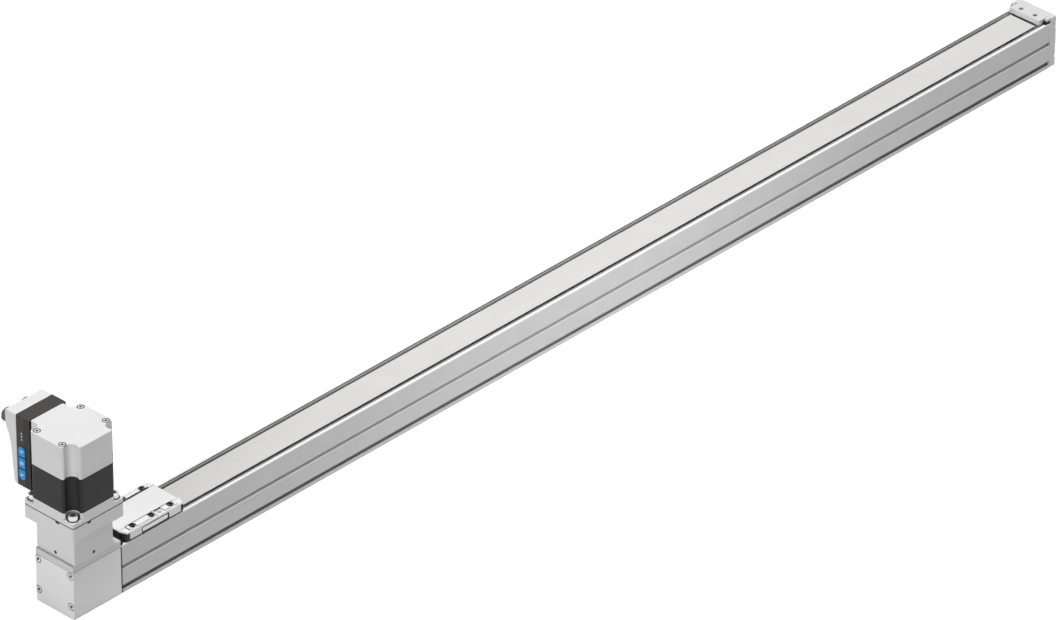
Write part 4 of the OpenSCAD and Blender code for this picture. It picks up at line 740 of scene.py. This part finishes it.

# painted shade: dark frames round the trip plates, where their recesses' edges lie in shade
tripRecessShade = {"grow": (0.9, 0.9), "wall": 0.1, "corners": (1.0, 0.8), "height": 0.16, "inset": 0.12}
size = ((tripHigh.x - tripLow.x) / mm, (tripHigh.z - tripLow.z) / mm)
for side in (-1, 1):
    name = "tripRecessShade%d" % side
    centre = (middleX, side * (bodyHigh.y - tripRecessShade["inset"] * mm), (tripLow.z + tripHigh.z) / 2)
    place = inMillimetres(centre, Matrix.Rotation(math.radians(-90 * side), 4, "X"))
    addDark(name, frameMesh(name, size, tripRecessShade, place), "carriage")

# painted highlight and shade on the profile's outer rims: a bright band on each rim's top, then a dark line
# for the step's shade and a shaded ledge inside it
rim = {
    "outer": 0.4, "width": 2.5, "lift": 0.03, "joint": 0.5, "thickness": 0.3,
    "ledgeDrop": 0.5, "ledgeIn": 17.6,
}
outer = profileHigh.y - rim["outer"] * mm
inner = outer - rim["width"] * mm
edge = inner - rim["joint"] * mm
rimBands = (
    ("rimHighlight%d", "anodised_profile", "brightBlock", inner, outer, rim["lift"]),
    ("rimJoint%d", "buffer_rubber", "shadeBlack", edge, inner, rim["lift"]),
    ("ledgeShade%d", "anodised_profile", "shadedLedge", rim["ledgeIn"] * mm, edge,
     rim["lift"] - rim["ledgeDrop"]),
)
for side in (-1, 1):
    for name, slot, finish, near, far, lift in rimBands:
        top = profileHigh.z + lift * mm
        blockPiece(name % side, (profileLow.x, profileHigh.x), (side * near, side * far),
                   (top - rim["thickness"] * mm, top), finish=finish)

# painted shadow: a dark sheet on the strip under and in front of the strip clamp's front edge
clampShadow = {"reach": 1.5, "overlap": 0.2, "half": 14.2, "drop": 0.1, "lift": 0.06}
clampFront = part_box("strip_clamp")[0].x
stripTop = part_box("cover_strip")[1].z
blockPiece("clampShadow", (clampFront - clampShadow["reach"] * mm, clampFront + clampShadow["overlap"] * mm),
           (-clampShadow["half"] * mm, clampShadow["half"] * mm),
           (stripTop - clampShadow["drop"] * mm, stripTop + clampShadow["lift"] * mm))

# painted shade: dark linings inside the carriage's threaded holes
holeShade = {"radius": 2.1, "wall": 0.12, "depth": 5.4, "under": 0.12}
for column in (-1, 0, 1):
    for side in (-1, 1):
        name = "threadHoleShade%d%d" % (column, side)
        place = inMillimetres((middleX + column * carriageThreads["pitchX"] * mm,
                               side * carriageThreads["pitchY"] / 2 * mm,
                               bodyHigh.z - (holeShade["depth"] + holeShade["under"]) * mm))
        mesh = bandMesh(name, circle(holeShade["radius"]), circle(holeShade["radius"] - holeShade["wall"]),
                        holeShade["depth"], place)
        addPiece(name, mesh, "carriage", materials["shadeBlack"])

# plain signs on the buttons: the panel faces -X, so a sign's x runs along -Y and its y along +Z
signTurn = Matrix(((0, 0, -1, 0), (-1, 0, 0, 0), (0, 1, 0, 0), (0, 0, 0, 1)))
arrow = [(-1.6, -0.4), (0.3, -0.4), (0.3, -1.5), (2.1, 0.2), (0.3, 1.9), (0.3, 0.8), (-1.6, 0.8)]
signs = {
    "button_top": [arrow],
    "button_middle": [rectangle(-1.7, -1.7, -0.4, 1.7), rectangle(0.4, -1.7, 1.7, 1.7)],
    "button_bottom": [[(-x, -y) for x, y in arrow]],
}
signLayer = {"sunk": 0.02, "thickness": 0.06}
for nodeName, shapes in signs.items():
    low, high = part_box(nodeName)
    middle = (low + high) / 2
    place = inMillimetres((low.x + signLayer["sunk"] * mm, middle.y, middle.z), signTurn)
    for number, shape in enumerate(shapes):
        mesh = outlineToMesh("%sSign%d" % (nodeName, number + 1), shape, signLayer["thickness"], place)
        addPiece(mesh.name, mesh, nodeName, materials["whiteInk"])

# grease nipple in the gap of the front pad
nipple = {
    "x": 8.8, "y": -18.3, "under": 0.55,
    "outline": [(0, 1.3), (0.45, 1.25), (0.7, 0.9), (0.75, 0.5), (1.5, 0.5), (1.6, 0.3),
                (1.6, -0.4), (0, -0.4)],
}
place = inMillimetres((middleX + nipple["x"] * mm, nipple["y"] * mm, coverHigh.z - nipple["under"] * mm))
addPiece("greaseNipple", turnedMesh("greaseNipple", nipple["outline"], place),
         "carriage", materials["platedScrew"])
print("small pieces made")


# floor, light and camera
studio = {
    "floorSize": 12.0,
    "floorColour": (0.40, 0.40, 0.40),
    "floorLift": 0.85,          # white seen by the camera, over the shadow
    "worldStrength": 0.12,
    "topLight": {"from": (0.12, -0.07, 1.0), "strength": 2.3, "angle": 14},
    "sideLight": {"from": (-1.0, -0.14, 0.5), "strength": 1.38, "angle": 25},
    "panelLight": {"place": (0.0, -0.38, 0.15), "aim": (0.0, 0.0, 0.02), "size": 0.3, "power": 0.66},
}


def seenDirectly(tree, rays):
    # 1 where one of these kinds of ray meets the surface, 0 elsewhere
    path = tree.nodes.new("ShaderNodeLightPath")
    seen = path.outputs[rays[0]]
    for ray in rays[1:]:
        larger = tree.nodes.new("ShaderNodeMath")
        larger.operation = "MAXIMUM"
        tree.links.new(seen, larger.inputs[0])
        tree.links.new(path.outputs[ray], larger.inputs[1])
        seen = larger.outputs[0]
    return seen


def buildFloor():
    size = studio["floorSize"]
    mesh = bpy.data.meshes.new("floor")
    mesh.from_pydata([(x, y, 0) for x, y in rectangle(-size, -size, size, size)], [], [(0, 1, 2, 3)])
    floor = bpy.data.objects.new("floor", mesh)
    bpy.context.scene.collection.objects.link(floor)
    material = bpy.data.materials.new("paleFloor")
    material.use_nodes = True
    tree = material.node_tree
    shader = tree.nodes["Principled BSDF"]
    shader.inputs["Base Color"].default_value = (*studio["floorColour"], 1)
    shader.inputs["Roughness"].default_value = 0.9
    shader.inputs["Specular IOR Level"].default_value = 0.0
    lift = tree.nodes.new("ShaderNodeMath")
    lift.operation = "MULTIPLY"
    lift.inputs[1].default_value = studio["floorLift"]
    tree.links.new(seenDirectly(tree, ("Is Camera Ray", "Is Glossy Ray")), lift.inputs[0])
    shader.inputs["Emission Color"].default_value = (1, 1, 1, 1)
    tree.links.new(lift.outputs[0], shader.inputs["Emission Strength"])
    mesh.materials.append(material)


def buildWorld():
    world = bpy.data.worlds.new("studio")
    bpy.context.scene.world = world
    world.use_nodes = True
    tree = world.node_tree
    background = tree.nodes["Background"]
    background.inputs["Color"].default_value = (1, 1, 1, 1)
    strength = tree.nodes.new("ShaderNodeMapRange")
    strength.inputs["To Min"].default_value = studio["worldStrength"]
    strength.inputs["To Max"].default_value = 1.0
    seen = seenDirectly(tree, ("Is Camera Ray", "Is Glossy Ray", "Is Transmission Ray"))
    tree.links.new(seen, strength.inputs["Value"])
    tree.links.new(strength.outputs["Result"], background.inputs["Strength"])


def hangLamp(light, towards):
    lamp = bpy.data.objects.new(light.name, light)
    bpy.context.scene.collection.objects.link(lamp)
    lamp.rotation_mode = "QUATERNION"
    lamp.rotation_quaternion = Vector(towards).to_track_quat("Z", "Y")
    return lamp


def buildSun(name, values):
    light = bpy.data.lights.new(name, "SUN")
    light.energy = values["strength"]
    light.angle = math.radians(values["angle"])
    hangLamp(light, values["from"])


def buildPanel(name, values):
    light = bpy.data.lights.new(name, "AREA")
    light.energy = values["power"]
    light.size = values["size"]
    hangLamp(light, Vector(values["place"]) - Vector(values["aim"])).location = values["place"]


cameraView = {
    "lens": 323.53, "sensor": 36.0,
    "azimuth": 43.665, "elevation": 32.404, "roll": -0.021,
    "target": (-0.044, 0.0, 0.025), "distance": 8.2481, "offset": (0.021186, 0.004233),
}


def buildCamera(view):
    azimuth, elevation, roll = (math.radians(view[k]) for k in ("azimuth", "elevation", "roll"))
    ahead = Vector((math.cos(azimuth) * math.cos(elevation), math.sin(azimuth) * math.cos(elevation),
                    -math.sin(elevation)))
    level = ahead.cross(Vector((0, 0, 1))).normalized()
    upright = level.cross(ahead)
    right = level * math.cos(roll) + upright * math.sin(roll)
    up = upright * math.cos(roll) - level * math.sin(roll)
    data = bpy.data.cameras.new("camera")
    data.lens = view["lens"]
    data.sensor_width = view["sensor"]
    camera = bpy.data.objects.new("camera", data)
    bpy.context.scene.collection.objects.link(camera)
    turn = Matrix((right, up, -ahead)).transposed().to_4x4()
    place = (Vector(view["target"]) - ahead * view["distance"]
             - right * view["offset"][0] - up * view["offset"][1])
    camera.matrix_world = Matrix.Translation(place) @ turn
    bpy.context.scene.camera = camera


buildFloor()
buildWorld()
buildSun("topLight", studio["topLight"])
buildSun("sideLight", studio["sideLight"])
buildPanel("panelLight", studio["panelLight"])
buildCamera(cameraView)
bpy.context.scene.view_settings.view_transform = "Standard"
print("studio ready")
